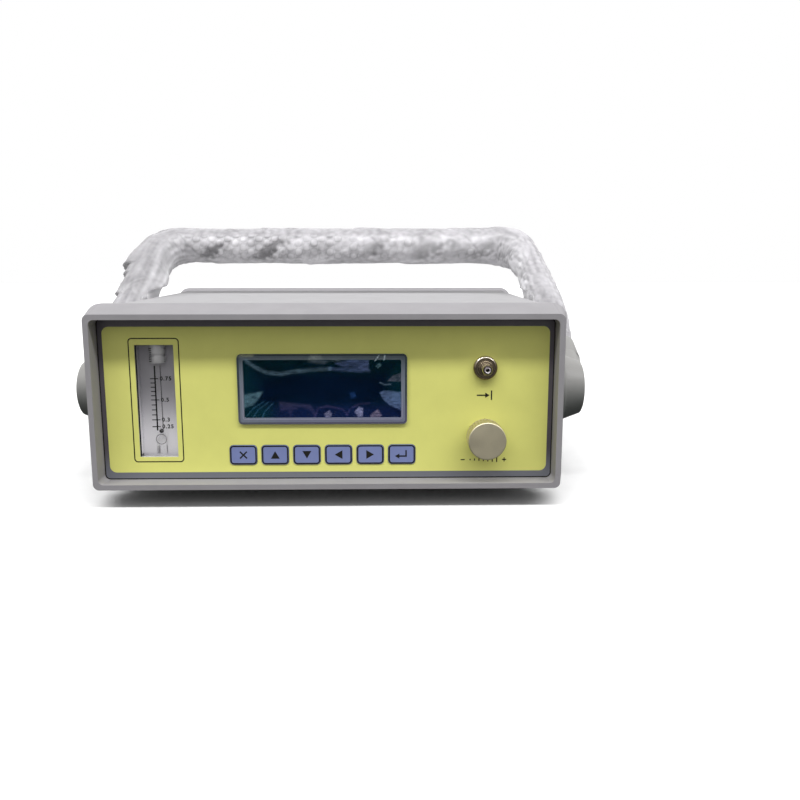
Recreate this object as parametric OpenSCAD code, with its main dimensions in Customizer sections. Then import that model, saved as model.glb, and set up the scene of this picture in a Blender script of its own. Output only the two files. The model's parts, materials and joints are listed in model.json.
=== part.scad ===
// Portable gas moisture analyzer in a flared instrument case with a swinging carry handle.
// Millimetres. X runs to the right, Y to the back and Z up from the bench; the panel faces -Y.

/* [Case] */
// Width over the wide end of the bezels
bezel_w = 318; // [310:1:350]
// Height over the wide end of the bezels
bezel_h = 126; // [122:1:150]
// Corner radius at the wide end of the bezels
bezel_corner_r = 9.5; // [8:0.5:16]
// How far a bezel narrows on every side toward its open end
bezel_flare = 5.5; // [3:0.5:7]
// Depth of the narrowing part of a bezel
flare_d = 23; // [22:0.5:30]
// Straight skirt behind the narrowing part
skirt_d = 6; // [6:0.5:12]
// Width of the flat ring around a bezel's opening
ring_wall = 3.5; // [2.5:0.5:5]
// Corner radius of a bezel's opening
opening_r = 3.5; // [3:0.5:7]
// Width of the ledge that a panel sits on
ledge_w = 3.5; // [2.5:0.5:5]
// Depth over both bezels
case_d = 300; // [290:1:360]
// Step from the bezel outline down to the covers
cover_step = 3; // [2.5:0.25:4]
// Wall of the covers
cover_t = 2.5; // [1.5:0.25:3]
// Length of cover that a bezel overlaps
cover_lap = 5; // [3:0.5:5.5]
// Height of the bottom cover's side walls
tray_h = 29; // [20:1:31]
// Height of the rubber feet
foot_h = 11; // [8:0.5:16]
// Top radius of a foot
foot_r = 11; // [9:0.5:14]
// Sideways distance of the feet from the sides of the covers
foot_side = 38; // [28:1:60]
// Distance of the front feet from the front edge
foot_front = 62; // [48:1:75]
// Distance of the rear feet from the rear edge
foot_rear = 50; // [48:1:75]
// Radius of the four long tie screws
tie_r = 2; // [1.5:0.25:2.5]

/* [Front panel] */
// Depth of the panel behind the front ring
panel_recess = 14; // [10:0.5:15]
// Thickness of the panel plate
panel_t = 3; // [2:0.25:4]
// Thickness of the printed overlay
overlay_t = 0.6; // [0.4:0.1:1]
// Distance of the artwork's centre below the case's centre
art_drop = 1; // [0:0.25:2]
// Width of the display's viewing area
lcd_view_w = 104; // [80:1:120]
// Height of the display's viewing area
lcd_view_h = 39; // [30:1:42]
// Width of the frame around the viewing area
lcd_border = 3.9; // [3.5:0.1:5]
// Height of the display frame above the overlay
lcd_frame_t = 1.4; // [0.8:0.1:2.5]
// Sideways place of the display
lcd_x = -3.5; // [-8:0.5:4]
// Height of the display above the artwork's centre
lcd_z = 8.2; // [6:0.2:10]
// Width of a key
key_w = 18; // [12:0.5:18.5]
// Height of a key
key_h = 13.2; // [9:0.1:14]
// Corner radius of a key
key_r = 2.5; // [1:0.25:3]
// Sideways place of the key row
key_x = -4.1; // [-8:0.1:4]
// Spacing of the keys
key_pitch = 21.2; // [20.5:0.1:22]
// Height of the key row against the artwork's centre
key_z = -36.4; // [-37:0.2:-36]
// Height of a key above the overlay
key_proud = 0.5; // [0.3:0.1:1]
// Travel of a key
key_travel = 0.8; // [0.4:0.1:1]
// Gap around a key
key_gap = 0.3; // [0.2:0.05:0.5]

/* [Flow meter] */
// Width of the clear block
meter_w = 24.8; // [20:0.2:30]
// Height of the clear block
meter_h = 74.7; // [70:0.5:80]
// Depth of the clear block
meter_d = 20; // [17:0.5:26]
// Distance of the block's middle from the left edge of the panel
meter_side = 36.8; // [34:0.2:50]
// How far the block sits behind the overlay's face
meter_sunk = 0.5; // [0.2:0.1:2]
// Radius of the float
float_r = 1.5; // [1.2:0.05:1.6]
// Radius of the measuring bore at the bottom
taper_r0 = 1.65; // [1.65:0.05:2]
// Radius of the measuring bore at the top
taper_r1 = 2.2; // [2.1:0.05:2.6]
// Height of the bore's lower end against the artwork's centre
taper_z0 = -22.5; // [-24:0.5:-20]
// Height of the bore's upper end against the artwork's centre
taper_z1 = 25; // [23:0.5:27]

/* [Gas ports and valve] */
// Distance of the inlet and the valve from the right edge of the panel
port_side = 46; // [38:0.5:54]
// Height of the inlet above the artwork's centre
inlet_z = 22.2; // [20:0.2:26]
// Height of the valve against the artwork's centre
valve_z = -23.4; // [-26:0.2:-20]
// Radius of the nipple that a hose is pushed onto
nipple_r = 3.25; // [2.5:0.05:4]
// Straight length of the nipple
nipple_l = 8; // [6:0.5:12]
// Radius of the gas passage through a port
passage_r = 1.3; // [0.8:0.1:1.6]
// Radius of a port's flange
flange_r = 7.9; // [7:0.1:9]
// Radius of a port's thread
thread_r = 5; // [4.5:0.1:5.5]
// Radius of the valve knob
knob_r = 12.35; // [10:0.1:15]
// Length of the valve knob
knob_l = 14; // [10:0.5:18]
// Gap between the overlay and the knob's back
knob_gap = 6; // [5:0.25:8]
// Number of flutes around the knob
knob_flutes = 36; // [24:2:48]
// Radius of the valve spindle
spindle_r = 3; // [2.6:0.1:3.4]
// Width across flats of the valve's panel nut
valve_nut_af = 20; // [18:0.5:21]

/* [Handle] */
// Distance of the handle's pivot from the front edge
pivot_back = 76; // [68:1:95]
// Height of the pivot against the case's centre
pivot_rise = -2; // [-6:0.5:6]
// Distance from the pivot to the middle of the grip
handle_reach = 185.6; // [150:0.2:220]
// Angle by which the handle leans back from upright
handle_lean = 55.9; // [0:0.1:60]
// Radius of the handle's bent tube
tube_r = 9; // [7:0.25:10]
// Wall of the handle's bent tube
tube_wall = 1.5; // [1:0.25:3]
// Distance of the legs' lines from the sides of the bezels, at the pivot
leg_side = 19.7; // [18:0.1:24]
// Angle by which the legs lean in toward the grip
leg_lean = 5.2; // [0:0.1:7]
// Radius of the bends at the tube's corners
bend_r = 26; // [20:1:50]
// Thickness of the rubber sleeve on the grip
grip_t = 2; // [1:0.25:3]
// Thickness of the wrapping around the grip and the bends
wrap_t = 3.8; // [2:0.2:5]
// Thickness of the wrapping on the legs' inner sides
leg_wrap_inner = 2.8; // [2:0.2:3]
// Thickness of the wrapping on the legs' outer sides
leg_wrap_outer = 6.8; // [4:0.2:8]
// Radius of the thick fold of wrapping at the left bend
fold_r = 18; // [16:0.5:19]
// Radius of the hub at the case
hub_r = 26; // [23:0.5:30]
// Radius of the hub's outer face
hub_face_r = 18; // [17.5:0.25:21]
// Width of the hub
hub_w = 22; // [21:0.5:30]
// Radius of the spigot that the hub turns on
spigot_r = 10; // [8:0.25:11]
// Length of the spigot
spigot_l = 12; // [10:0.5:14]
// Distance from the pivot to the end of the tube's socket
socket_end = 46; // [44:1:60]

/* [Rear panel] */
// Depth of the rear panel behind the rear ring
rear_recess = 4; // [2:0.5:8]
// Distance of the power switch from the right edge of the panel
switch_side_x = 90; // [76:1:120]
// Distance of the charging socket from the right edge of the panel
jack_side = 50; // [30:1:62]
// Sideways place of the data connector
serial_x = -20; // [-50:1:10]
// Angle of the switch's throw to each side of flat
rocker_tilt = 10; // [6:0.5:12]

/* [Fits] */
// Clearance of pieces that slip together
slip = 0.3; // [0.2:0.05:0.4]
// Radial clearance of turning and sliding fits
run_fit = 0.05; // [0.02:0.01:0.1]

/* [Hidden] */
$fn = 64;
eps = 0.01;
over = 1;

case_z = foot_h - cover_step + bezel_h / 2;
front_y = -case_d / 2;
rear_y = case_d / 2;
bezel_d = flare_d + skirt_d;
opening_w = bezel_w - 2 * (bezel_flare + ring_wall);
opening_h = bezel_h - 2 * (bezel_flare + ring_wall);
cavity_w = opening_w - 2 * ledge_w;
cavity_h = opening_h - 2 * ledge_w;
cover_w = bezel_w - 2 * cover_step;
cover_h = bezel_h - 2 * cover_step;
cover_r = bezel_corner_r - cover_step;
cover_y = case_d / 2 - bezel_d + cover_lap;
floor_z = foot_h + cover_t;
seam_z = foot_h + tray_h;
boss_r = 7;
boss_inset = 5.5;
boss_x = cavity_w / 2 - boss_inset;
boss_z = cavity_h / 2 - boss_inset;
foot_x = cover_w / 2 - foot_side;
foot_y0 = front_y + foot_front;
foot_y1 = rear_y - foot_rear;
tie_head_r = 2 * tie_r;
tie_head_t = 2.6;
tie_grip = 7;
tie_slot = 1;
foot_taper = 2;
foot_recess_r = 5;
foot_head_t = 2;
foot_grip = 4;
foot_boss_h = 5;
foot_boss_r = 4.5;

art_z = case_z - art_drop;
face_y = front_y + panel_recess;
plate_y = face_y + overlay_t;
back_y = plate_y + panel_t;
rear_face_y = rear_y - rear_recess;
rear_back_y = rear_face_y - panel_t;

lcd_w = lcd_view_w + 2 * lcd_border;
lcd_h = lcd_view_h + 2 * lcd_border;
lcd_frame_r = 3;
lcd_spigot = 1.5;
lcd_spigot_w = lcd_view_w + 2 * lcd_spigot;
lcd_spigot_h = lcd_view_h + 2 * lcd_spigot;
lcd_spigot_r = 2;
lcd_view_r = 1;
lcd_pocket = 0.7;
lcd_window_gap = 0.1;
lcd_glass_lip = 3;
lcd_step = 1.2;
lcd_window_t = 1.5;
lcd_glass_t = 2.8;
lcd_board_t = 1.6;
lcd_board_margin = 9;

key_names = ["cancel", "up", "down", "left", "right", "confirm"];
key_count = len(key_names);
key_flange = 1;
key_flange_t = 1;
key_rest_gap = 0.7;
plunger_r = 1.5;
plunger_rest_gap = 0.2;
switch_side = 6;
switch_t = 3.5;
switch_bore = 2.5;
switch_front = key_flange_t + key_travel + key_rest_gap;
plunger_end = switch_front + switch_bore - key_travel - plunger_rest_gap;
key_board_y = back_y + switch_front + switch_t;
key_board_t = 1.6;
key_board_margin = 6;
standoff_r = 2.5;
standoff_inset = 3;

meter_x = meter_side - opening_w / 2;
meter_y = face_y + meter_sunk;
meter_back = meter_y + meter_d;
bore_depth = 8;
bore_y = meter_y + bore_depth;
seat_r = float_r * 0.8;
seat_t = 2;
chamber_r = 3.5;
port_low = taper_z0 - 5.5;
port_high = taper_z1 - 3;
plug_r = 5;
low_plug = 5.5;
float_lift = 0.1;
float_z = art_z + taper_z0 + sqrt(float_r * float_r - seat_r * seat_r) + float_lift;
bracket_t = 2;
bracket_side = 1;
bracket_foot = 6;
stub_r = 3.5;
stub_in = 6;
barb_r = 2.4;
barb_l = 12;
barb_wall = 1;
hex_l = 4;
hex_af = 10;
stub_end = meter_back + bracket_t + hex_l + barb_l;
line_r = 2.5;

port_x = opening_w / 2 - port_side;
port_back = 16;
port_inner = overlay_t + panel_t + port_back;
port_step = 1.4;
port_edge = 0.9;
port_rim = 2.6;
port_face = 3.5;
port_shoulder = 5;
port_tip = 1;
washer_t = 1;
nut_t = 5;
nut_af = 14;
valve_side = 24;
valve_l = 30;
bushing_r = 6;
bushing_front = 4.5;
valve_nut_t = 3.4;
valve_nut_turn = 28;
neck_l = 8.4;
chamber_l = 12;
valve_chamber_r = 4.6;
orifice_r = 1;
orifice_l = 3;
outlet_r = 2.5;
needle_r = 2;
collar_l = 3;
collar_gap = 0.1;
needle_bore = 7;
needle_in = 4;
needle_cone = 4.5;
needle_tip_r = 0.4;
needle_clear = 3.5;
spindle_grip = 11;
flute_r = 0.8;
flute_depth = 0.36;
flute_end = 1;
knob_edge = 0.5;
knob_ease = 0.4;
knob_rim = 2.5;
grub_r = 1.5;
grub_y = 4;
grub_sunk = 1.5;
neck_end = overlay_t + panel_t + neck_l;
chamber_end = neck_end + chamber_l;
valve_end = overlay_t + panel_t + valve_l;
valve_port_y = chamber_end - 4;

pivot_y = front_y + pivot_back;
pivot_z = case_z + pivot_rise;
side_x = cover_w / 2;
sleeve_r = tube_r + grip_t;
grip_inset = 8;
wrap_gap = 0.4;
wrap_start = socket_end + 1;
wrap_in = sleeve_r + wrap_gap;
wrap_r = wrap_in + wrap_t;
leg_wrap_in = tube_r + wrap_gap;
leg_wrap_r = leg_wrap_in + (leg_wrap_outer + leg_wrap_inner) / 2;
leg_wrap_shift = (leg_wrap_outer - leg_wrap_inner) / 2;
cuff_t = 2.2;
cuff_l = 23;
cuff_lap = 2;
fold_start = 138;
fold_angle = 50;
bend_swell = 0.05;
bend_lap = 0.3;
leg_x = bezel_w / 2 + leg_side;
bar_half = leg_x - (bend_r + (handle_reach - bend_r) * sin(leg_lean)) / cos(leg_lean);
leg_end = (leg_x - bar_half - bend_r * cos(leg_lean)) * sin(leg_lean)
    + (handle_reach - bend_r + bend_r * sin(leg_lean)) * cos(leg_lean);
grip_half = bar_half - grip_inset;
boss_flange_t = 3;
washer_inset = 1;
washer_x = side_x + boss_flange_t;
hub_x = washer_x + washer_t + run_fit;
spigot_end = washer_x + spigot_l;
bolt_r = 4;
bolt_in = 1;
bolt_head_r = spigot_r + 2;
bolt_head_t = 4.5;
bolt_key_af = 5;
cap_r = hub_face_r - 2;
cap_t = 2.5;
cap_edge = 0.8;
hub_rim = 6;
hub_round = 1.5;
neck_inset = 3;
socket_blend = 8;
shank_r = 8;
pivot_nut_t = 4;
pivot_nut_wall = 5;
pivot_in = side_x - cover_t - pivot_nut_t;
socket_wall = 2.5;
socket_l = 18;
socket_lip = 0.5;
socket_root = 4;
socket_floor = 2;
socket_r = tube_r + socket_wall;
socket_start = socket_end - socket_l - socket_root;

switch_x = opening_w / 2 - switch_side_x;
jack_x = opening_w / 2 - jack_side;
switch_in = [13, 19];
switch_flange = 1.2;
switch_flange_t = 2;
switch_depth = 16;
switch_floor = 4;
rocker_w = 10;
rocker_r = 8.6;
jack_r = 4;
jack_flange = 2.5;
jack_flange_t = 2;
jack_back = 10;
serial_in = [19, 11];
serial_back = 8;

battery = [60, 96, 38];
battery_side = 9;
battery_back = 14;
battery_x = battery_side + battery[0] / 2 - boss_x;
battery_y = foot_y1 - battery_back - battery[1] / 2;
sensor = [40, 50, 50];
sensor_y = 20;
sensor_cap_r = 14;
sensor_cap_h = 18;

board_gap = 3;
board_x0 = battery_x + battery[0] / 2 + board_gap;
board_x1 = port_x - sensor[0] / 2 - board_gap;
board_x = (board_x0 + board_x1) / 2;
board_y = 40;
board_w = board_x1 - board_x0;
board_l = 110;
board_t = 1.6;
chip_at = [[-40, 20], [10, 25], [40, -20], [-20, -25]];
chip_size = [[20, 20, 3], [14, 14, 2.5], [18, 30, 9], [30, 10, 6]];
board_inset = 6;
post_h = 10;
post_r = 3.5;

line_turn = 12;
line_side = 20;
line_back = 10;
line_cross_y = -60;

// Shared shapes

// Flat outline with round corners
module rounded(w, h, r) {
    square([w, h - 2 * r], center = true);
    square([w - 2 * r, h], center = true);
    for (x = [-1, 1], z = [-1, 1])
        translate([x * (w / 2 - r), z * (h / 2 - r)])
            circle(r = r);
}

// Runs an upright outline from y0 back to y1, centred at x and z
module run_y(y0, y1, x = 0, z = 0) {
    translate([x, y1, z])
        rotate([90, 0, 0])
            linear_extrude(height = y1 - y0)
                children();
}

// Round bar along Y
module rod_y(x, z, y0, y1, r) {
    translate([x, y1, z])
        rotate([90, 0, 0])
            cylinder(h = y1 - y0, r = r);
}

// Six-sided bar along Y, turned about its axis
module hex_y(x, z, y0, y1, af, turn = 0) {
    translate([x, y1, z])
        rotate([90, 0, 0])
            rotate(turn)
                cylinder(h = y1 - y0, r = af / sqrt(3), $fn = 6);
}

// Box along Y, centred at x and z
module bar_y(w, h, y0, y1, x = 0, z = 0) {
    translate([x - w / 2, y0, z - h / 2])
        cube([w, y1 - y0, h]);
}

// Round bar along X
module rod_x(x0, x1, r) {
    translate([x0, 0, 0])
        rotate([0, 90, 0])
            cylinder(h = x1 - x0, r = r);
}

module both_sides() {
    children();
    mirror([1, 0, 0])
        children();
}

module at_tie_screws() {
    for (x = [-1, 1], z = [-1, 1])
        translate([x * boss_x, 0, case_z + z * boss_z])
            children();
}

module at_feet() {
    for (x = [-foot_x, foot_x], y = [foot_y0, foot_y1])
        translate([x, y, 0])
            children();
}

// Case

// Solid block that widens from the front plane y = 0 to a depth of flare_d
module flared_block() {
    flat_x = bezel_w - 2 * bezel_corner_r;
    flat_z = bezel_h - 2 * bezel_corner_r;
    low_w = bezel_w / 2 - bezel_flare;
    low_h = bezel_h / 2 - bezel_flare;
    translate([-flat_x / 2, 0, 0])
        rotate([90, 0, 90])
            linear_extrude(height = flat_x)
                polygon([[0, -low_h], [flare_d, -bezel_h / 2], [flare_d, bezel_h / 2], [0, low_h]]);
    translate([0, 0, -flat_z / 2])
        linear_extrude(height = flat_z)
            polygon([[-low_w, 0], [low_w, 0], [bezel_w / 2, flare_d], [-bezel_w / 2, flare_d]]);
    for (x = [-1, 1], z = [-1, 1])
        translate([x * flat_x / 2, flare_d, z * flat_z / 2])
            rotate([90, 0, 0])
                cylinder(h = flare_d, r1 = bezel_corner_r, r2 = bezel_corner_r - bezel_flare);
}

// Bezel with its open end at y = 0, a panel seat at seat_y and a rear pocket for the covers
module bezel(seat_y, hole_r, hole_y) {
    difference() {
        union() {
            difference() {
                union() {
                    flared_block();
                    run_y(flare_d - eps, bezel_d)
                        rounded(bezel_w, bezel_h, bezel_corner_r);
                }
                run_y(-over, seat_y)
                    rounded(opening_w, opening_h, opening_r);
                run_y(seat_y - over, bezel_d + over)
                    rounded(cavity_w, cavity_h, opening_r);
                run_y(bezel_d - cover_lap, bezel_d + over)
                    rounded(cover_w + 2 * slip, cover_h + 2 * slip, cover_r + slip);
            }
            for (x = [-1, 1], z = [-1, 1])
                rod_y(x * boss_x, z * boss_z, seat_y, bezel_d, boss_r);
        }
        for (x = [-1, 1], z = [-1, 1])
            rod_y(x * boss_x, z * boss_z, hole_y, bezel_d + over, hole_r);
    }
}

module front_bezel() {
    color("silver")
        translate([0, front_y, case_z])
            bezel(back_y - front_y, tie_r + run_fit, bezel_d - tie_grip - over);
}

module rear_bezel() {
    color("silver")
        translate([0, rear_y, case_z])
            mirror([0, 1, 0])
                bezel(rear_recess + panel_t, tie_r + slip, -over);
}

// Closed tube of both covers
module cover_tube() {
    difference() {
        run_y(-cover_y, cover_y, 0, case_z)
            rounded(cover_w, cover_h, cover_r);
        run_y(-cover_y - over, cover_y + over, 0, case_z)
            rounded(cover_w - 2 * cover_t, cover_h - 2 * cover_t, cover_r - cover_t);
    }
}

module top_cover() {
    color("gainsboro")
        difference() {
            cover_tube();
            translate([-bezel_w, -case_d, seam_z - case_d])
                cube([2 * bezel_w, 2 * case_d, case_d]);
            translate([0, pivot_y, pivot_z])
                rod_x(-bezel_w, bezel_w, shank_r + slip);
        }
}

module bottom_cover() {
    color("gainsboro")
        difference() {
            union() {
                difference() {
                    cover_tube();
                    translate([-bezel_w, -case_d, seam_z])
                        cube([2 * bezel_w, 2 * case_d, case_d]);
                }
                at_feet()
                    translate([0, 0, floor_z - eps])
                        cylinder(h = foot_boss_h, r = foot_boss_r);
            }
            at_feet()
                cylinder(h = 2 * foot_h + foot_boss_h, r = tie_r + run_fit);
        }
}

module tie_screws() {
    color("dimgray")
        at_tie_screws() {
            rod_y(0, 0, front_y + bezel_d - tie_grip, rear_face_y, tie_r);
            difference() {
                rod_y(0, 0, rear_face_y, rear_face_y + tie_head_t, tie_head_r);
                for (size = [[tie_slot, 2 * tie_head_r], [2 * tie_head_r, tie_slot]])
                    bar_y(size[0], size[1], rear_face_y + tie_head_t - tie_slot, rear_y);
            }
        }
}

module feet() {
    recess_h = foot_h / 2;
    color("dimgray")
        at_feet()
            difference() {
                cylinder(h = foot_h, r1 = foot_r - foot_taper, r2 = foot_r);
                translate([0, 0, -eps])
                    cylinder(h = recess_h + eps, r = foot_recess_r);
                cylinder(h = foot_h + over, r = tie_r + slip);
            }
}

module foot_screws() {
    color("silver")
        at_feet()
            translate([0, 0, foot_h / 2]) {
                cylinder(h = foot_h / 2 + cover_t + foot_grip, r = tie_r);
                translate([0, 0, -foot_head_t])
                    cylinder(h = foot_head_t, r = tie_head_r);
            }
}

// Panel

// Holes that the overlay and the plate share
module panel_holes(y0, y1) {
    run_y(y0, y1, lcd_x, art_z + lcd_z)
        rounded(lcd_spigot_w + slip, lcd_spigot_h + slip, lcd_spigot_r);
    for (i = [0 : key_count - 1])
        run_y(y0, y1, key_at(i), art_z + key_z)
            rounded(key_w + 2 * key_gap, key_h + 2 * key_gap, key_r + key_gap);
    bar_y(meter_w + 2 * slip, meter_h + 2 * slip, y0, y1, meter_x, art_z);
    rod_y(port_x, art_z + inlet_z, y0, y1, thread_r + slip);
    rod_y(port_x, art_z + valve_z, y0, y1, bushing_r + slip);
}

function key_at(i) = key_x + (i - (key_count - 1) / 2) * key_pitch;

module panel_overlay() {
    color("khaki")
        difference() {
            run_y(face_y, plate_y, 0, case_z)
                rounded(opening_w - slip, opening_h - slip, opening_r);
            panel_holes(face_y - over, plate_y + over);
        }
}

module front_panel() {
    color("lightgray")
        difference() {
            run_y(plate_y, back_y, 0, case_z)
                rounded(opening_w - slip, opening_h - slip, opening_r);
            panel_holes(plate_y - over, back_y + over);
        }
}

module lcd_frame() {
    pocket_w = lcd_view_w + 2 * lcd_pocket;
    pocket_h = lcd_view_h + 2 * lcd_pocket;
    color("gray")
        translate([lcd_x, 0, art_z + lcd_z])
            difference() {
                union() {
                    run_y(face_y - lcd_frame_t, face_y)
                        rounded(lcd_w, lcd_h, lcd_frame_r);
                    run_y(face_y - eps, back_y)
                        rounded(lcd_spigot_w, lcd_spigot_h, lcd_spigot_r);
                }
                run_y(face_y - lcd_frame_t - over, back_y + over)
                    rounded(lcd_view_w, lcd_view_h, lcd_view_r);
                bar_y(pocket_w, pocket_h, face_y + lcd_step, back_y + over);
            }
}

module lcd_window() {
    inset = lcd_pocket - lcd_window_gap;
    color("lightblue", 0.4)
        bar_y(lcd_view_w + 2 * inset, lcd_view_h + 2 * inset,
            face_y + lcd_step, face_y + lcd_step + lcd_window_t, lcd_x, art_z + lcd_z);
}

module lcd_glass() {
    color("midnightblue")
        bar_y(lcd_view_w + 2 * lcd_glass_lip, lcd_view_h + 2 * lcd_glass_lip,
            back_y, back_y + lcd_glass_t, lcd_x, art_z + lcd_z);
}

module lcd_board() {
    w = lcd_view_w + 2 * lcd_board_margin;
    h = lcd_view_h + 2 * lcd_board_margin;
    y0 = back_y + lcd_glass_t;
    color("seagreen")
        bar_y(w, h, y0, y0 + lcd_board_t, lcd_x, art_z + lcd_z);
}

// Posts that carry the display board, the key board and the main board
module board_standoffs() {
    lcd_dx = lcd_view_w / 2 + lcd_board_margin - standoff_inset;
    lcd_dz = lcd_view_h / 2 + lcd_board_margin - standoff_inset;
    key_dx = key_count * key_pitch / 2 + key_board_margin - standoff_inset;
    board_dx = board_w / 2 - board_inset;
    board_dy = board_l / 2 - board_inset;
    color("goldenrod") {
        for (x = [-1, 1], z = [-1, 1])
            rod_y(lcd_x + x * lcd_dx, art_z + lcd_z + z * lcd_dz, back_y, back_y + lcd_glass_t, standoff_r);
        for (x = [-1, 1])
            rod_y(key_x + x * key_dx, art_z + key_z, back_y, key_board_y, standoff_r);
        for (x = [-1, 1], y = [-1, 1])
            translate([board_x + x * board_dx, board_y + y * board_dy, floor_z])
                cylinder(h = post_h, r = post_r);
    }
}

module keypad_board() {
    w = key_count * key_pitch + 2 * key_board_margin;
    h = key_h + 2 * key_flange;
    color("seagreen")
        bar_y(w, h, key_board_y, key_board_y + key_board_t, key_x, art_z + key_z);
}

module tact_switches() {
    y0 = key_board_y - switch_t;
    color("dimgray")
        for (i = [0 : key_count - 1])
            difference() {
                bar_y(switch_side, switch_side, y0, key_board_y, key_at(i), art_z + key_z);
                rod_y(key_at(i), art_z + key_z, y0 - over, y0 + switch_bore, plunger_r + slip);
            }
}

// Key cap with a flange behind the panel and a plunger in its switch
module key(i) {
    z = art_z + key_z;
    color("lightsteelblue") {
        run_y(face_y - key_proud, back_y + key_flange_t, key_at(i), z)
            rounded(key_w, key_h, key_r);
        run_y(back_y, back_y + key_flange_t, key_at(i), z)
            rounded(key_w + 2 * key_flange, key_h + 2 * key_flange, key_r);
        rod_y(key_at(i), z, back_y, back_y + plunger_end, plunger_r);
    }
}

// Flow meter

module meter_block() {
    x = meter_x;
    top = art_z + meter_h / 2;
    bottom = art_z - meter_h / 2;
    color("white", 0.5)
        difference() {
            bar_y(meter_w, meter_h, meter_y, meter_back, x, art_z);
            translate([x, bore_y, art_z + taper_z0])
                cylinder(h = taper_z1 - taper_z0, r1 = taper_r0, r2 = taper_r1);
            translate([x, bore_y, art_z + taper_z1])
                cylinder(h = top - art_z - taper_z1 + over, r = plug_r + run_fit);
            translate([x, bore_y, art_z + taper_z0 - seat_t - over])
                cylinder(h = seat_t + 2 * over, r = seat_r);
            translate([x, bore_y, bottom - over])
                cylinder(h = art_z + taper_z0 - seat_t - bottom + over, r = chamber_r + run_fit);
            for (z = [port_low, port_high]) {
                rod_y(x, art_z + z, bore_y, meter_back, passage_r);
                rod_y(x, art_z + z, meter_back - stub_in, meter_back + over, stub_r + run_fit);
            }
        }
}

module meter_float() {
    color("black")
        translate([meter_x, bore_y, float_z])
            sphere(r = float_r);
}

// Plugs that close the drilled ends of the block, the upper one with a waist
module meter_plugs() {
    top_l = meter_h / 2 - taper_z1;
    waist = 1;
    color("whitesmoke") {
        translate([meter_x, bore_y, art_z + taper_z1])
            rotate_extrude()
                polygon([[0, 0], [plug_r, 0], [plug_r, top_l / 3], [plug_r - waist, top_l / 3],
                    [plug_r - waist, top_l / 2], [plug_r, top_l / 2], [plug_r, top_l], [0, top_l]]);
        translate([meter_x, bore_y, art_z - meter_h / 2])
            cylinder(h = low_plug, r = chamber_r);
    }
}

// Hose stubs screwed into the back of the block
module meter_fittings() {
    front = meter_back - stub_in;
    bracket_y = meter_back + bracket_t;
    color("silver")
        for (z = [port_low, port_high])
            difference() {
                union() {
                    rod_y(meter_x, art_z + z, front, bracket_y, stub_r);
                    hex_y(meter_x, art_z + z, bracket_y, bracket_y + hex_l, hex_af);
                    rod_y(meter_x, art_z + z, bracket_y, stub_end, barb_r);
                }
                rod_y(meter_x, art_z + z, front - over, stub_end - barb_wall, passage_r);
            }
}

// Folded strap that holds the block against the panel
module meter_bracket() {
    half = meter_w / 2 + bracket_side;
    color("silver")
        translate([meter_x, 0, 0])
            difference() {
                union() {
                    bar_y(2 * (half + bracket_t), meter_h, meter_back, meter_back + bracket_t, 0, art_z);
                    for (s = [-1, 1]) {
                        bar_y(bracket_t, meter_h, back_y, meter_back + bracket_t,
                            s * (half + bracket_t / 2), art_z);
                        bar_y(bracket_foot, meter_h, back_y, back_y + bracket_t,
                            s * (half + bracket_foot / 2), art_z);
                    }
                }
                for (z = [port_low, port_high])
                    rod_y(0, art_z + z, meter_back - over, meter_back + bracket_t + over, stub_r + run_fit);
            }
}

// Gas ports

// Bulkhead port: flange on the panel, nipple outside and thread inside
module gas_port() {
    back = -port_inner;
    step_r = nipple_r + port_step;
    tip = port_shoulder + nipple_l;
    tip_r = nipple_r - 0.6 * port_tip;
    rotate([90, 0, 0])
        rotate_extrude()
            polygon([[passage_r, back], [thread_r, back], [thread_r, 0], [flange_r, 0], [flange_r, port_rim],
                [flange_r - port_edge, port_face], [step_r, port_face], [step_r, port_shoulder],
                [nipple_r, port_shoulder], [nipple_r, tip], [tip_r, tip + port_tip],
                [passage_r, tip + port_tip]]);
}

module inlet_fitting() {
    color("lightgray")
        translate([port_x, face_y, art_z + inlet_z])
            gas_port();
}

module outlet_fitting() {
    color("lightgray")
        translate([meter_x, rear_face_y, art_z + port_high])
            mirror([0, 1, 0])
                gas_port();
}

module port_ring(x, z, y0, y1, r) {
    difference() {
        rod_y(x, z, y0, y1, r);
        rod_y(x, z, y0 - over, y1 + over, thread_r + run_fit);
    }
}

module port_nut(x, z, y0, y1) {
    difference() {
        hex_y(x, z, y0, y1, nut_af);
        rod_y(x, z, y0 - over, y1 + over, thread_r + run_fit);
    }
}

module port_washers() {
    color("black") {
        port_ring(port_x, art_z + inlet_z, back_y, back_y + washer_t, flange_r);
        port_ring(meter_x, art_z + port_high, rear_back_y - washer_t, rear_back_y, flange_r);
    }
}

module port_nuts() {
    color("lightgray") {
        port_nut(port_x, art_z + inlet_z, back_y + washer_t, back_y + washer_t + nut_t);
        port_nut(meter_x, art_z + port_high, rear_back_y - washer_t - nut_t, rear_back_y - washer_t);
    }
}

// Flow valve: depths are measured back from the overlay's face

module valve_part() {
    translate([port_x, face_y, art_z + valve_z])
        children();
}

module valve_body() {
    color("goldenrod")
        valve_part()
            difference() {
                union() {
                    rod_y(0, 0, -bushing_front, overlay_t + panel_t, bushing_r);
                    bar_y(valve_side, valve_side, overlay_t + panel_t, valve_end);
                }
                rod_y(0, 0, -bushing_front - over, neck_end, spindle_r + run_fit);
                rod_y(0, 0, neck_end, chamber_end, valve_chamber_r);
                rod_y(0, 0, chamber_end - over, chamber_end + orifice_l, orifice_r);
                rod_y(0, 0, chamber_end + orifice_l, valve_end + over, outlet_r);
                translate([0, valve_port_y, 0])
                    cylinder(h = valve_side, r = passage_r);
            }
}

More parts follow.
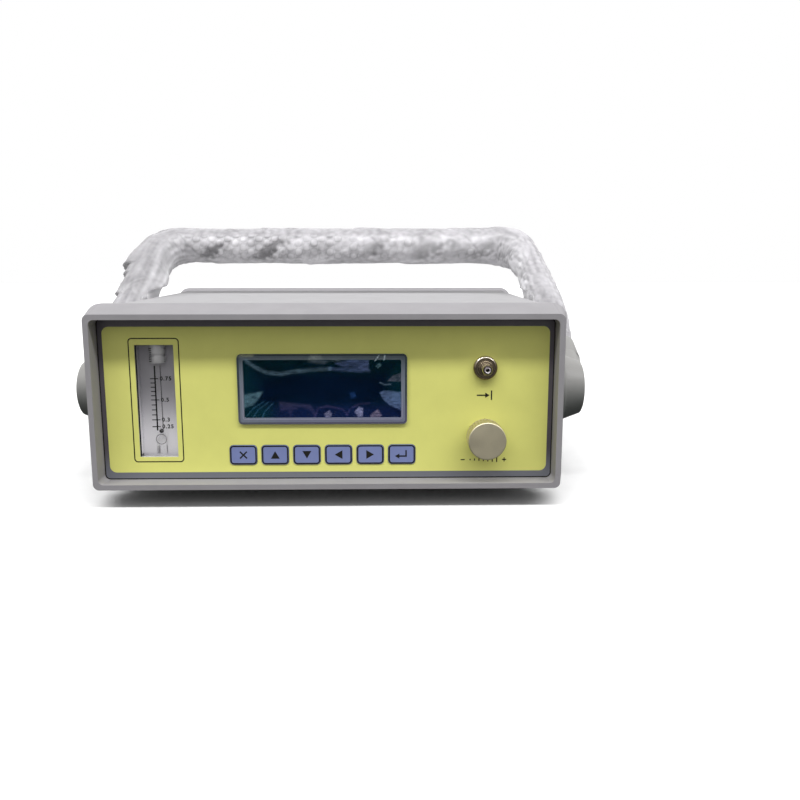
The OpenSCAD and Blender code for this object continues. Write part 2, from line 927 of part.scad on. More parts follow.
module valve_nut() {
    color("lightgray")
        valve_part()
            difference() {
                hex_y(0, 0, -valve_nut_t, 0, valve_nut_af, valve_nut_turn);
                rod_y(0, 0, -valve_nut_t - over, over, bushing_r + run_fit);
            }
}

module valve_spindle() {
    collar_y = neck_end + run_fit;
    color("silver")
        valve_part()
            difference() {
                union() {
                    rod_y(0, 0, -knob_gap - spindle_grip, collar_y + eps, spindle_r);
                    rod_y(0, 0, collar_y, collar_y + collar_l, valve_chamber_r - collar_gap);
                }
                rod_y(0, 0, neck_end - needle_bore, collar_y + collar_l + over, needle_r + run_fit);
            }
}

// Needle that screws in and out of the spindle without turning
module valve_needle() {
    shoulder = chamber_end - needle_clear;
    color("silver")
        valve_part() {
            rod_y(0, 0, neck_end - needle_in, shoulder, needle_r);
            translate([0, shoulder + needle_cone, 0])
                rotate([90, 0, 0])
                    cylinder(h = needle_cone, r1 = needle_tip_r, r2 = needle_r);
        }
}

module valve_knob() {
    front = knob_gap + knob_l;
    flute_x = knob_r + flute_r - flute_depth;
    color("tan")
        valve_part()
            difference() {
                rotate([90, 0, 0])
                    rotate_extrude()
                        polygon([[0, knob_gap], [knob_r - knob_ease, knob_gap],
                            [knob_r, knob_gap + knob_ease], [knob_r, front - knob_edge],
                            [knob_r - knob_edge, front], [0, front]]);
                rod_y(0, 0, -knob_gap - spindle_grip, -knob_gap + over, spindle_r + run_fit);
                for (i = [0 : knob_flutes - 1])
                    rotate([0, i * 360 / knob_flutes, 0])
                        rod_y(flute_x, 0, -front + knob_rim, -knob_gap - flute_end, flute_r);
                translate([0, -knob_gap - grub_y, 0])
                    rod_x(0, 2 * knob_r, grub_r + run_fit);
            }
}

module knob_screw() {
    color("dimgray")
        valve_part()
            translate([0, -knob_gap - grub_y, 0])
                difference() {
                    rod_x(spindle_r + run_fit, knob_r - grub_sunk, grub_r);
                    rod_x(knob_r - 2 * grub_sunk, knob_r, grub_r / 2);
                }
}

// Handle: built upright on its pivot, then leaned back

module handle_pose() {
    translate([0, pivot_y, pivot_z])
        rotate([-handle_lean, 0, 0])
            children();
}

// Frame along the right leg's line, from the pivot's height toward the bend
module on_leg() {
    translate([leg_x, 0, 0])
        rotate([0, -leg_lean, 0])
            children();
}

// Right bend of a tube of radius r, over an angle from the leg toward the grip; it takes in the ends of the
// straight runs, which lap into it
module bend(r, angle) {
    translate([bar_half, 0, handle_reach - bend_r])
        rotate([90, 0, 0])
            rotate([0, 0, leg_lean])
                rotate_extrude(angle = angle)
                    translate([bend_r, 0])
                        circle(r = r + bend_swell);
}

// Bent tube of radius r with its legs starting at a distance along their lines
module bow(r, start) {
    both_sides() {
        on_leg()
            translate([0, 0, start])
                cylinder(h = leg_end + bend_lap - start, r = r);
        bend(r, 90 - leg_lean);
    }
    translate([0, 0, handle_reach])
        rod_x(-bar_half - bend_lap, bar_half + bend_lap, r);
}

// Hub with a neck that narrows into the tube's socket
module handle_arm() {
    hub_out = hub_x + hub_w;
    bolt_seat = spigot_end - slip;
    difference() {
        union() {
            translate([hub_x, 0, 0])
                rotate([0, 90, 0])
                    rotate_extrude()
                        polygon([[0, 0], [hub_r, 0], [hub_r, hub_rim],
                            [hub_r - hub_round, hub_rim + hub_round],
                            [hub_face_r + hub_round, hub_w - hub_round / 2],
                            [hub_face_r, hub_w], [0, hub_w]]);
            hull() {
                rod_x(hub_x + neck_inset, hub_out - neck_inset, hub_face_r, $fn = 32);
                on_leg()
                    translate([0, 0, socket_start])
                        cylinder(h = socket_blend, r = socket_r - socket_lip, $fn = 32);
            }
            on_leg()
                translate([0, 0, socket_end - socket_l])
                    cylinder(h = socket_l, r = socket_r);
        }
        rod_x(hub_x - over, bolt_seat, spigot_r + run_fit);
        rod_x(bolt_seat, hub_out - cap_t, bolt_head_r + slip);
        rod_x(hub_out - cap_t - eps, hub_out + over, cap_r + slip);
        on_leg()
            translate([0, 0, socket_start + socket_floor])
                cylinder(h = socket_end, r = tube_r + run_fit);
    }
}

module handle_arm_right() {
    color("darkgray")
        handle_pose()
            handle_arm();
}

module handle_arm_left() {
    color("darkgray")
        handle_pose()
            mirror([1, 0, 0])
                handle_arm();
}

module handle_tube() {
    color("silver")
        handle_pose()
            difference() {
                bow(tube_r, socket_start + socket_floor);
                bow(tube_r - tube_wall, socket_start + socket_floor - over);
            }
}

module handle_grip() {
    color("dimgray")
        handle_pose()
            translate([0, 0, handle_reach])
                difference() {
                    rod_x(-grip_half, grip_half, sleeve_r);
                    rod_x(-grip_half - over, grip_half + over, tube_r + run_fit);
                }
}

// Wrapping of the right leg: a cuff at the socket and thicker layers above it
module leg_wrap() {
    layers = wrap_start + cuff_l - cuff_lap;
    translate([0, 0, wrap_start])
        cylinder(h = cuff_l, r = leg_wrap_in + cuff_t);
    translate([leg_wrap_shift, 0, layers])
        cylinder(h = leg_end + bend_lap - layers, r = leg_wrap_r);
}

// Loose protective wrapping around the legs, bends and grip, with a thick fold at the left bend
module handle_wrap() {
    color("white", 0.6)
        handle_pose()
            difference() {
                union() {
                    both_sides() {
                        on_leg()
                            leg_wrap();
                        bend(wrap_r, 90 - leg_lean);
                    }
                    mirror([1, 0, 0]) {
                        on_leg()
                            translate([0, 0, fold_start])
                                cylinder(h = leg_end + bend_lap - fold_start, r = fold_r);
                        bend(fold_r, fold_angle);
                    }
                    translate([0, 0, handle_reach])
                        rod_x(-bar_half - bend_lap, bar_half + bend_lap, wrap_r);
                }
                bow(leg_wrap_in, wrap_start - over);
                translate([0, 0, handle_reach])
                    rod_x(-grip_half - over, grip_half + over, wrap_in);
            }
}

module hub_cap() {
    rotate([0, 90, 0])
        translate([0, 0, hub_x + hub_w - cap_t])
            rotate_extrude()
                polygon([[0, 0], [cap_r, 0], [cap_r, cap_t - cap_edge], [cap_r - cap_edge, cap_t],
                    [0, cap_t]]);
}

module hub_cap_right() {
    color("gray")
        handle_pose()
            hub_cap();
}

module hub_cap_left() {
    color("gray")
        handle_pose()
            mirror([1, 0, 0])
                hub_cap();
}

module at_pivots() {
    translate([0, pivot_y, pivot_z])
        both_sides()
            children();
}

module pivot_bosses() {
    color("gray")
        at_pivots()
            difference() {
                union() {
                    rod_x(pivot_in, side_x + eps, shank_r);
                    rod_x(side_x, washer_x, hub_r);
                    rod_x(washer_x - eps, spigot_end, spigot_r);
                }
                rod_x(side_x - bolt_in - over, spigot_end + over, bolt_r + run_fit);
            }
}

module pivot_nuts() {
    color("silver")
        at_pivots()
            difference() {
                rod_x(pivot_in, side_x - cover_t, shank_r + pivot_nut_wall, $fn = 6);
                rod_x(pivot_in - over, side_x, shank_r + run_fit);
            }
}

module pivot_bolts() {
    color("silver")
        at_pivots()
            difference() {
                union() {
                    rod_x(side_x - bolt_in, spigot_end + eps, bolt_r);
                    rod_x(spigot_end, spigot_end + bolt_head_t, bolt_head_r);
                }
                rod_x(spigot_end + over, spigot_end + bolt_head_t + over, bolt_key_af / sqrt(3), $fn = 6);
            }
}

module pivot_washers() {
    color("white")
        at_pivots()
            difference() {
                rod_x(washer_x, washer_x + washer_t, hub_r - washer_inset);
                rod_x(washer_x - over, washer_x + washer_t + over, spigot_r + slip);
            }
}

// Rear panel

module rear_panel() {
    y0 = rear_back_y - over;
    y1 = rear_face_y + over;
    color("lightgray")
        difference() {
            run_y(rear_back_y, rear_face_y, 0, case_z)
                rounded(opening_w - slip, opening_h - slip, opening_r);
            at_tie_screws()
                rod_y(0, 0, y0, y1, tie_r + slip);
            rod_y(meter_x, art_z + port_high, y0, y1, thread_r + slip);
            bar_y(switch_in[0] + slip, switch_in[1] + slip, y0, y1, switch_x, art_z);
            rod_y(jack_x, art_z, y0, y1, jack_r + slip);
            bar_y(serial_in[0] + slip, serial_in[1] + slip, y0, y1, serial_x, art_z);
        }
}

module switch_housing() {
    flange_w = switch_in[0] + 2 * switch_flange;
    flange_h = switch_in[1] + 2 * switch_flange;
    back = rear_face_y - switch_depth;
    color("dimgray")
        translate([switch_x, 0, art_z])
            difference() {
                union() {
                    bar_y(switch_in[0], switch_in[1], back, rear_face_y);
                    run_y(rear_face_y, rear_face_y + switch_flange_t)
                        rounded(flange_w, flange_h, switch_flange);
                }
                bar_y(rocker_w + 2 * slip, 2 * (rocker_r + slip), back + switch_floor, rear_y + over);
            }
}

// Rocker with a shallow vee across its face, resting on its lower end
module switch_rocker() {
    middle = 2;
    ends = 3.2;
    root = 5;
    color("firebrick")
        translate([switch_x, rear_face_y, art_z])
            rotate([-rocker_tilt, 0, 0])
                intersection() {
                    rod_x(-rocker_w / 2, rocker_w / 2, rocker_r);
                    translate([-rocker_w / 2, 0, 0])
                        rotate([90, 0, 90])
                            linear_extrude(height = rocker_w)
                                polygon([[-root, -rocker_r], [ends, -rocker_r], [middle, 0],
                                    [ends, rocker_r], [-root, rocker_r]]);
                }
}

module charge_jack() {
    barrel_r = 2.75;
    pin_r = 1.05;
    pin_round = 0.6;
    back = -panel_t - jack_back;
    well = jack_flange_t - 9;
    rim_r = jack_r + jack_flange;
    edge = 0.6;
    color("black")
        translate([jack_x, rear_face_y, art_z])
            mirror([0, 1, 0])
                rotate([90, 0, 0])
                    rotate_extrude()
                        polygon([[0, back], [jack_r, back], [jack_r, 0], [rim_r, 0],
                            [rim_r, jack_flange_t - edge], [rim_r - edge, jack_flange_t],
                            [barrel_r, jack_flange_t], [barrel_r, well], [pin_r, well], [pin_r, 0],
                            [0, pin_round]]);
}

module serial_port() {
    plate = [31, 12.5];
    plate_t = 1;
    plate_r = 1.5;
    shell_w = 16.9;
    shell_h = 8.4;
    slant = 1;
    proud = 4;
    stud_x = 12.5;
    stud_af = 5;
    color("silver")
        translate([serial_x, rear_face_y, art_z]) {
            bar_y(serial_in[0], serial_in[1], -panel_t - serial_back, eps);
            run_y(0, plate_t)
                rounded(plate[0], plate[1], plate_r);
            run_y(0, proud)
                polygon([[-shell_w / 2, shell_h / 2], [shell_w / 2, shell_h / 2],
                    [shell_w / 2 - slant, -shell_h / 2], [slant - shell_w / 2, -shell_h / 2]]);
            for (x = [-stud_x, stud_x])
                hex_y(x, 0, 0, proud, stud_af);
        }
}

// Inside the case

module main_board() {
    top = floor_z + post_h;
    color("seagreen")
        translate([board_x, board_y, top]) {
            translate([-board_w / 2, -board_l / 2, 0])
                cube([board_w, board_l, board_t]);
            for (i = [0 : len(chip_at) - 1])
                translate(chip_at[i] - [chip_size[i][0], chip_size[i][1]] / 2)
                    cube(chip_size[i] + [0, 0, board_t]);
        }
}

module battery_pack() {
    color("steelblue")
        translate([battery_x - battery[0] / 2, battery_y - battery[1] / 2, floor_z])
            cube(battery);
}

module sensor_cell() {
    color("silver")
        translate([port_x, sensor_y, floor_z]) {
            translate([-sensor[0] / 2, -sensor[1] / 2, 0])
                cube(sensor);
            translate([0, 0, sensor[2] - eps])
                cylinder(h = sensor_cap_h, r = sensor_cap_r);
        }
}

// Straight run of gas line between two points, with round ends
module line(a, b, r = line_r) {
    d = b - a;
    l = norm(d);
    translate(a)
        rotate([0, acos(d[2] / l), atan2(d[1], d[0])])
            cylinder(h = l, r = r);
}

module line_path(points) {
    for (i = [0 : len(points) - 2])
        line(points[i], points[i + 1]);
    for (i = [1 : len(points) - 2])
        translate(points[i])
            sphere(r = line_r);
}

// Gas lines from the inlet through valve, sensor and flow meter to the outlet
module gas_lines() {
    inlet_end = face_y + port_inner;
    outlet_end = rear_face_y - port_inner;
    valve_top = art_z + valve_z + valve_side / 2;
    valve_in_y = face_y + valve_port_y;
    turn_y = inlet_end + line_turn;
    sensor_front = sensor_y - sensor[1] / 2;
    sensor_left = port_x - sensor[0] / 2;
    low_z = art_z + port_low;
    high_z = art_z + port_high;
    color("lightblue") {
        line_path([[port_x, inlet_end, art_z + inlet_z], [port_x, turn_y, art_z + inlet_z],
            [port_x, turn_y, valve_top + line_turn], [port_x, valve_in_y, valve_top + line_turn],
            [port_x, valve_in_y, valve_top]]);
        line([port_x, face_y + valve_end, art_z + valve_z], [port_x, sensor_front, art_z + valve_z]);
        line_path([[sensor_left, sensor_y - line_back, low_z],
            [sensor_left - line_side, sensor_y - line_back, low_z],
            [sensor_left - line_side, line_cross_y, low_z], [meter_x, line_cross_y, low_z],
            [meter_x, stub_end, low_z]]);
        line([meter_x, stub_end, high_z], [meter_x, outlet_end, high_z]);
    }
}

module key_cancel() { key(0); }
module key_up() { key(1); }
module key_down() { key(2); }
module key_left() { key(3); }
module key_right() { key(4); }
module key_confirm() { key(5); }

front_bezel();
rear_bezel();
top_cover();
bottom_cover();
tie_screws();
feet();
foot_screws();
front_panel();
panel_overlay();
lcd_frame();
lcd_window();
lcd_glass();
lcd_board();
board_standoffs();
keypad_board();
tact_switches();
key_cancel();
key_up();
key_down();
key_left();
key_right();
key_confirm();
meter_block();
meter_float();
meter_plugs();
meter_fittings();
meter_bracket();
inlet_fitting();
outlet_fitting();
port_washers();
port_nuts();
valve_body();
valve_nut();
valve_spindle();
valve_needle();
valve_knob();
knob_screw();
handle_arm_left();
handle_arm_right();
handle_tube();
handle_grip();
handle_wrap();
hub_cap_left();
hub_cap_right();
pivot_bosses();
pivot_nuts();
pivot_bolts();
pivot_washers();
rear_panel();
switch_housing();
switch_rocker();
charge_jack();
serial_port();
main_board();
battery_pack();
sensor_cell();
gas_lines();
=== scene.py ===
"""Looks of a portable gas moisture analyzer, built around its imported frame.

Sizes are in millimetres in the row frame: X to the right, Y to the back, Z up from the bench.
"""

import json
import logging
import math
from dataclasses import dataclass, field
from enum import Enum
from typing import Any, Iterable, Union

import bmesh
import bpy
from mathutils import Matrix, Vector, noise

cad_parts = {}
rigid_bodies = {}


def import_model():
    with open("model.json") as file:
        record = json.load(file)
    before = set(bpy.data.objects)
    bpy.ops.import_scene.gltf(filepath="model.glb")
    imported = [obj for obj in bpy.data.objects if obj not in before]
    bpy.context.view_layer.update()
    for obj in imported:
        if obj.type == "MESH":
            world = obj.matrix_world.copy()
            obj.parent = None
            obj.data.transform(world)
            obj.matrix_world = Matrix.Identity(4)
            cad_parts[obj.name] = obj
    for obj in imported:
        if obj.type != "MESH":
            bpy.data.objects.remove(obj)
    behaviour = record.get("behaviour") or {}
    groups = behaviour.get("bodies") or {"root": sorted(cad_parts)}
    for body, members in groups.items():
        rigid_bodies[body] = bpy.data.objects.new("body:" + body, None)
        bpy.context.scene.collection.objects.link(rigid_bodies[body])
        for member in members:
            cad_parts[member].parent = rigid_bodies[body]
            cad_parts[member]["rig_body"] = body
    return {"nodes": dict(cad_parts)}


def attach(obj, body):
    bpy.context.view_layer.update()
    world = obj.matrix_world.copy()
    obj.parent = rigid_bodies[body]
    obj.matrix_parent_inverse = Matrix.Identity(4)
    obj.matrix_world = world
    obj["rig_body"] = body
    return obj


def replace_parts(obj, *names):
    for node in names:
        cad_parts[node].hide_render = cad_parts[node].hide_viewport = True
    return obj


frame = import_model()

# A millimetre in metres, and the thickness of a print in millimetres.
MM = 0.001
PRINT_T = 0.04
# Points of a CAD mesh or of a print within this many metres are one point.
MERGE = 1e-6
PRINT_MERGE = 1e-7
# Faces within this many degrees of each other are one face.
LEVEL = 0.5
# Faces over this many square metres, and faces with this mark, are shaded flat.
FLAT_AREA = 4e-4
FLAT = "flat"
# Angle in degrees that keeps every edge of a film smooth.
ALL_SMOOTH = 180.0
# Depth in millimetres to which light spreads in a soft finish.
SOFT_DEPTH = 6.0
# Colours that are painted on a mesh.
PAINT = "paint"
log = logging.getLogger("analyzer")

Color = tuple[float, float, float, float]
Number = Union[float, "Wire"]
Pair = tuple[float, float]
Triple = tuple[float, float, float]
Profile = tuple[Pair, ...]
Shade = tuple[int, int, int]
Bar = tuple[float, ...]
Mesh = bmesh.types.BMesh
Edge = bmesh.types.BMEdge
Vert = bmesh.types.BMVert


def srgb(red: int, green: int, blue: int) -> Color:
    """Linear colour of an 8-bit display colour.

    Args:
        red: Red from 0 to 255.
        green: Green from 0 to 255.
        blue: Blue from 0 to 255.

    Returns:
        The colour as linear red, green, blue and an alpha of 1.
    """
    def linear(value: int) -> float:
        """One channel made linear."""
        share = value / 255
        return share / 12.92 if share <= 0.04045 else ((share + 0.055) / 1.055) ** 2.4

    return linear(red), linear(green), linear(blue), 1.0


def smooth(low: float, high: float, value: float) -> float:
    """Smooth step of a value from 0 at low to 1 at high."""
    share = min(1.0, max(0.0, (value - low) / (high - low)))
    return share * share * (3 - 2 * share)


def between(profile: Profile, place: float) -> float:
    """Value of a profile at a place, straight between its points."""
    for (start, low), (end, high) in zip(profile, profile[1:]):
        if place <= end:
            return low + (high - low) * max(0.0, place - start) / (end - start)
    return profile[-1][1]


def cloud(x: float, y: float, z: float) -> float:
    """Smooth noise from about -1 to 1 at a place."""
    return noise.noise(Vector((x, y, z)))


@dataclass(frozen=True)
class Patches:
    """Smooth noise over a flat sheet.

    Attributes:
        strength: Largest value, about.
        width: Width of a patch in millimetres.
        height: Height of a patch in millimetres.
        seed: Place in the noise.
    """

    strength: float
    width: float
    height: float
    seed: float

    def at(self, across: float, up: float) -> float:
        """Value at a place on the sheet."""
        return self.strength * cloud(across / self.width, up / self.height, self.seed)


@dataclass(frozen=True)
class Ripple:
    """Smooth noise on a tube, without a seam.

    Attributes:
        strength: Largest value, about.
        length: Length of a patch along the tube in millimetres.
        turn: Radius of the tube, in patches.
        shift: Place of the tube's middle in the noise.
    """

    strength: float
    length: float
    turn: float
    shift: Pair = (0.0, 0.0)

    def at(self, run: float, angle: float) -> float:
        """Value at a length along the tube and an angle around it."""
        across = self.turn * math.cos(angle) + self.shift[0]
        up = self.turn * math.sin(angle) + self.shift[1]
        return self.strength * cloud(run / self.length, across, up)


class Wire:
    """A shader socket that takes part in Python arithmetic."""

    def __init__(self, graph: "Graph", socket: bpy.types.NodeSocket) -> None:
        """Keeps the socket and the graph that it belongs to."""
        self.graph = graph
        self.socket = socket

    def __add__(self, other: Number) -> "Wire":
        """Sum."""
        return self.graph.math("ADD", self, other)

    def __sub__(self, other: Number) -> "Wire":
        """Difference."""
        return self.graph.math("SUBTRACT", self, other)

    def __mul__(self, other: Number) -> "Wire":
        """Product."""
        return self.graph.math("MULTIPLY", self, other)

    def __truediv__(self, other: Number) -> "Wire":
        """Quotient."""
        return self.graph.math("DIVIDE", self, other)

    def __pow__(self, other: Number) -> "Wire":
        """Power."""
        return self.graph.math("POWER", self, other)

    def sine(self) -> "Wire":
        """Sine of the value in radians."""
        return self.graph.math("SINE", self)

    def ramp(self, low: float, high: float) -> "Wire":
        """Smooth step from 0 at low to 1 at high.

        Args:
            low: Value that gives 0.
            high: Value that gives 1.

        Returns:
            The stepped value.
        """
        node = self.graph.add("ShaderNodeMapRange", {"interpolation_type": "SMOOTHSTEP"},
                              {"Value": self, "From Min": low, "From Max": high})
        return Wire(self.graph, node.outputs["Result"])


class Graph:
    """A node tree that is filled by short calls."""

    def __init__(self, tree: bpy.types.NodeTree) -> None:
        """Empties the tree.

        Args:
            tree: Node tree of a material or of the world.
        """
        self.tree = tree
        self.tree.nodes.clear()
        self._place: Wire | None = None

    def add(self, kind: str, settings: dict[str, Any] | None = None,
            sockets: dict[Union[int, str], Any] | None = None) -> bpy.types.Node:
        """Adds a node, sets it up and feeds its sockets.

        Args:
            kind: Node type.
            settings: Properties that are set first.
            sockets: Values or wires by socket name or number.

        Returns:
            The new node.
        """
        node = self.tree.nodes.new(kind)
        for key, value in (settings or {}).items():
            setattr(node, key, value)
        for key, value in (sockets or {}).items():
            if isinstance(value, Wire):
                self.tree.links.new(value.socket, node.inputs[key])
            else:
                node.inputs[key].default_value = value
        return node

    def math(self, operation: str, *values: Number) -> Wire:
        """Adds one Math node for values and wires."""
        node = self.add("ShaderNodeMath", {"operation": operation}, dict(enumerate(values)))
        return Wire(self, node.outputs[0])

    def place(self) -> Wire:
        """Object coordinates of the shaded point, in metres."""
        if self._place is None:
            self._place = Wire(self, self.add("ShaderNodeTexCoord").outputs["Object"])
        return self._place

    def axes(self) -> tuple[Wire, Wire, Wire]:
        """The three Object coordinates of the shaded point, in millimetres."""
        node = self.add("ShaderNodeSeparateXYZ", None, {0: self.place()})
        x, y, z = (Wire(self, output) / MM for output in node.outputs)
        return x, y, z

    def stretched(self, stretch: Triple) -> Wire:
        """Object coordinates with each axis scaled."""
        node = self.add("ShaderNodeMapping", None, {"Vector": self.place(), "Scale": stretch})
        return Wire(self, node.outputs[0])

    def noise(self, size: float, detail: float = 2.0, vector: Wire | None = None) -> Wire:
        """Noise around 0.5 whose patches have a given size.

        Args:
            size: Width of a patch in millimetres.
            detail: Number of finer layers.
            vector: Coordinates in metres, or the object's own.

        Returns:
            The noise value.
        """
        node = self.add("ShaderNodeTexNoise", None,
                        {"Vector": vector or self.place(), "Scale": 1 / (size * MM), "Detail": detail})
        return Wire(self, node.outputs[0])

    def painted(self) -> tuple[Wire, Wire]:
        """Colour and opacity that are painted on the mesh."""
        node = self.add("ShaderNodeAttribute", {"attribute_name": PAINT})
        return Wire(self, node.outputs["Color"]), Wire(self, node.outputs["Alpha"])

    def seen(self, *rays: str) -> Wire:
        """1 for the named kinds of rays, 0 for the others."""
        node = self.add("ShaderNodeLightPath")
        first, *others = (Wire(self, node.outputs[ray]) for ray in rays)
        return sum(others, first)

    def mix(self, share: Number, first: Any, second: Any) -> Wire:
        """Mixes two colours.

        Args:
            share: Share of the second colour.
            first: Colour or wire.
            second: Colour or wire.

        Returns:
            The mixed colour.
        """
        node = self.add("ShaderNodeMix", {"data_type": "RGBA"}, {0: share, 6: first, 7: second})
        return Wire(self, node.outputs[2])

    def bump(self, height: Wire, depth: float) -> Wire:
        """Surface normal of a relief.

        Args:
            height: Height from 0 to 1.
            depth: Depth of the relief in millimetres.

        Returns:
            The bent normal.
        """
        node = self.add("ShaderNodeBump", None, {"Height": height, "Distance": depth * MM})
        return Wire(self, node.outputs[0])


@dataclass(frozen=True)
class Finish:
    """A surface whose colour, gloss and relief wander a little over it.

    Attributes:
        name: Name of the material.
        color: Main colour.
        roughness: Mean roughness.
        metallic: 1 for bare metal.
        tone: Share by which the colour wanders.
        tone_size: Size of the colour patches in millimetres.
        grain: Size of the relief's grain in millimetres.
        relief: Depth of the relief in millimetres.
        gloss: Spread of the roughness.
        stretch: Scale of the grain along X, Y and Z.
        specular: Strength of the mirror reflection of a surface that isn't metal.
        soft: Share of the light that spreads below the surface.
    """

    name: str
    color: Color
    roughness: float
    metallic: float = 0.0
    tone: float = 0.08
    tone_size: float = 18.0
    grain: float = 0.6
    relief: float = 0.02
    gloss: float = 0.1
    stretch: Triple = (1.0, 1.0, 1.0)
    specular: float = 0.5
    soft: float = 0.0

    def tint(self, graph: Graph) -> Wire:
        """Colour over the surface."""
        darker = tuple(c * (1 - self.tone) for c in self.color[:3]) + (1.0,)
        lighter = tuple(min(1.0, c * (1 + self.tone)) for c in self.color[:3]) + (1.0,)
        return graph.mix(graph.noise(self.tone_size, 4.0).ramp(0.3, 0.7), darker, lighter)

    def height(self, graph: Graph) -> Wire:
        """Relief over the surface, from 0 to 1."""
        return graph.noise(self.grain, 3.0, graph.stretched(self.stretch))

    def shine(self, graph: Graph) -> Wire:
        """Roughness over the surface."""
        return graph.noise(self.tone_size / 3, 3.0, graph.stretched(self.stretch)) * self.gloss \
            + (self.roughness - self.gloss / 2)

    def alpha(self, graph: Graph) -> Number:
        """Opacity over the surface."""
        return 1.0

    def build(self) -> bpy.types.Material:
        """Makes the material, or finds it if it is there."""
        name = f"{self.name}_finish"
        material = bpy.data.materials.get(name)
        if material:
            return material
        material = bpy.data.materials.new(name)
        material.use_nodes = True
        graph = Graph(material.node_tree)
        surface = graph.add("ShaderNodeBsdfPrincipled", None, {
            "Base Color": self.tint(graph),
            "Roughness": self.shine(graph),
            "Metallic": self.metallic,
            "Specular IOR Level": self.specular,
            "Subsurface Weight": self.soft,
            "Subsurface Radius": (1.0, 1.0, 1.0),
            "Subsurface Scale": SOFT_DEPTH * MM,
            "Alpha": self.alpha(graph),
            "Normal": graph.bump(self.height(graph), self.relief),
        })
        graph.add("ShaderNodeOutputMaterial", None, {0: Wire(graph, surface.outputs[0])})
        return material


@dataclass(frozen=True)
class Turned(Finish):
    """Metal with fine lathe rings around an axis along Y.

    Attributes:
        axis_x: X of the axis in millimetres.
        axis_z: Z of the axis in millimetres.
        pitch: Spacing of the rings in millimetres.
    """

    axis_x: float = 0.0
    axis_z: float = 0.0
    pitch: float = 0.35

    def radius(self, graph: Graph) -> Wire:
        """Distance from the axis in millimetres."""
        x, _, z = graph.axes()
        return ((x - self.axis_x) ** 2.0 + (z - self.axis_z) ** 2.0) ** 0.5

    def height(self, graph: Graph) -> Wire:
        """Rings with some uneven grain."""
        rings = (self.radius(graph) * (2 * math.pi / self.pitch)).sine() * 0.35 + 0.5
        return rings + graph.noise(self.grain, 2.0) * 0.3

    def shine(self, graph: Graph) -> Wire:
        """Roughness that changes from ring to ring and with handling."""
        rings = (self.radius(graph) * (1.7 / self.pitch)).sine() * (0.4 * self.gloss)
        return rings + graph.noise(self.tone_size, 3.0) * self.gloss + (self.roughness - self.gloss / 2)


@dataclass(frozen=True)
class Nozzle(Turned):
    """Turned port with painted light and shade: a bright nipple as a painted highlight, whose tip is a
    painted dark reflection around a pale rim that is a painted highlight.

    Attributes:
        nipple: Colour of the nipple, a painted highlight.
        rim: Colour of the rim around the bore, a painted highlight.
        tip: Colour of the tip around the rim, a painted dark reflection.
        edge: Colour of the flange's upper edge, a painted highlight.
        rim_r: Radius of the rim in millimetres.
        edge_r: Inner radius of the flange's edge in millimetres.
        highlight_rise: Heights over the axis in millimetres between which the edge turns bright as a painted
            highlight.
        step_y: Y of the nipple's foot and of its tip in millimetres.
        blur: Half width of a step between two colours in millimetres.
    """

    nipple: Color = srgb(235, 230, 224)
    rim: Color = srgb(240, 232, 236)
    tip: Color = srgb(70, 60, 58)
    edge: Color = srgb(226, 216, 200)
    rim_r: float = 2.15
    edge_r: float = 6.9
    highlight_rise: Pair = (2.0, 6.0)
    step_y: Pair = (-141.4, -149.3)
    blur: float = 0.2

    def tint(self, graph: Graph) -> Wire:
        """Colours of the flange, the nipple and its tip: painted highlights and dark reflection on one
        nickel.
        """
        _, y, z = graph.axes()
        radius = self.radius(graph)
        foot, end = self.step_y
        low, high = (self.axis_z + rise for rise in self.highlight_rise)
        tip = graph.mix(self._step(radius, self.rim_r, self.blur / 2), self.rim, self.tip)
        nipple = graph.mix(self._step(y, end, self.blur), tip, self.nipple)
        painted_highlight = self._step(radius, self.edge_r, self.blur) * z.ramp(low, high)
        flange = graph.mix(painted_highlight, super().tint(graph), self.edge)
        return graph.mix(self._step(y, foot, self.blur), nipple, flange)

    def _step(self, value: Wire, place: float, blur: float) -> Wire:
        """Short smooth step around a place."""
        return value.ramp(place - blur, place + blur)


@dataclass(frozen=True)
class Graded(Finish):
    """Finish that fades to a second colour along an axis, further down unless set otherwise; in this script
    the fade paints light or shade.

    Attributes:
        low: Colour at the lower place.
        fade: Places in millimetres between which it fades.
        axis: Number of the axis.
    """

    low: Color = srgb(0, 0, 0)
    fade: Pair = (0.0, 1.0)
    axis: int = 2

    def tint(self, graph: Graph) -> Wire:
        """Main colour above, second colour below."""
        return graph.mix(graph.axes()[self.axis].ramp(*self.fade), self.low, super().tint(graph))


@dataclass(frozen=True)
class Clear(Finish):
    """Clear plastic that lets light straight through.

    Attributes:
        opacity: Mean opacity.
        haze: Spread of the opacity.
    """

    opacity: float = 0.2
    haze: float = 0.1

    def alpha(self, graph: Graph) -> Number:
        """Opacity with faint clouds."""
        return graph.noise(self.tone_size, 3.0) * self.haze + (self.opacity - self.haze / 2)


@dataclass(frozen=True)
class Painted(Finish):
    """Thin film whose colour and opacity are painted on its mesh.

    Attributes:
        mottle: Spread of the opacity in small patches.
    """

    mottle: float = 0.1

    def tint(self, graph: Graph) -> Wire:
        """The painted colour, mixed with a little of the main one."""
        return graph.mix(graph.noise(self.tone_size, 4.0) * self.tone, graph.painted()[0], self.color)

    def alpha(self, graph: Graph) -> Number:
        """The painted opacity with faint patches."""
        patches = graph.noise(self.tone_size / 2, 3.0) * self.mottle
        return graph.painted()[1] * (patches + (1 - self.mottle / 2))


@dataclass(frozen=True)
class Bench(Finish):
    """Bench top that is white to look at.

    Attributes:
        back: Share of the light that it throws back onto the object.
    """

    back: float = 0.2

    def tint(self, graph: Graph) -> Wire:
        """White for the camera, darker for the light that it throws back."""
        dark = (self.back, self.back, self.back, 1.0)
        return graph.mix(graph.seen("Is Camera Ray"), dark, super().tint(graph))


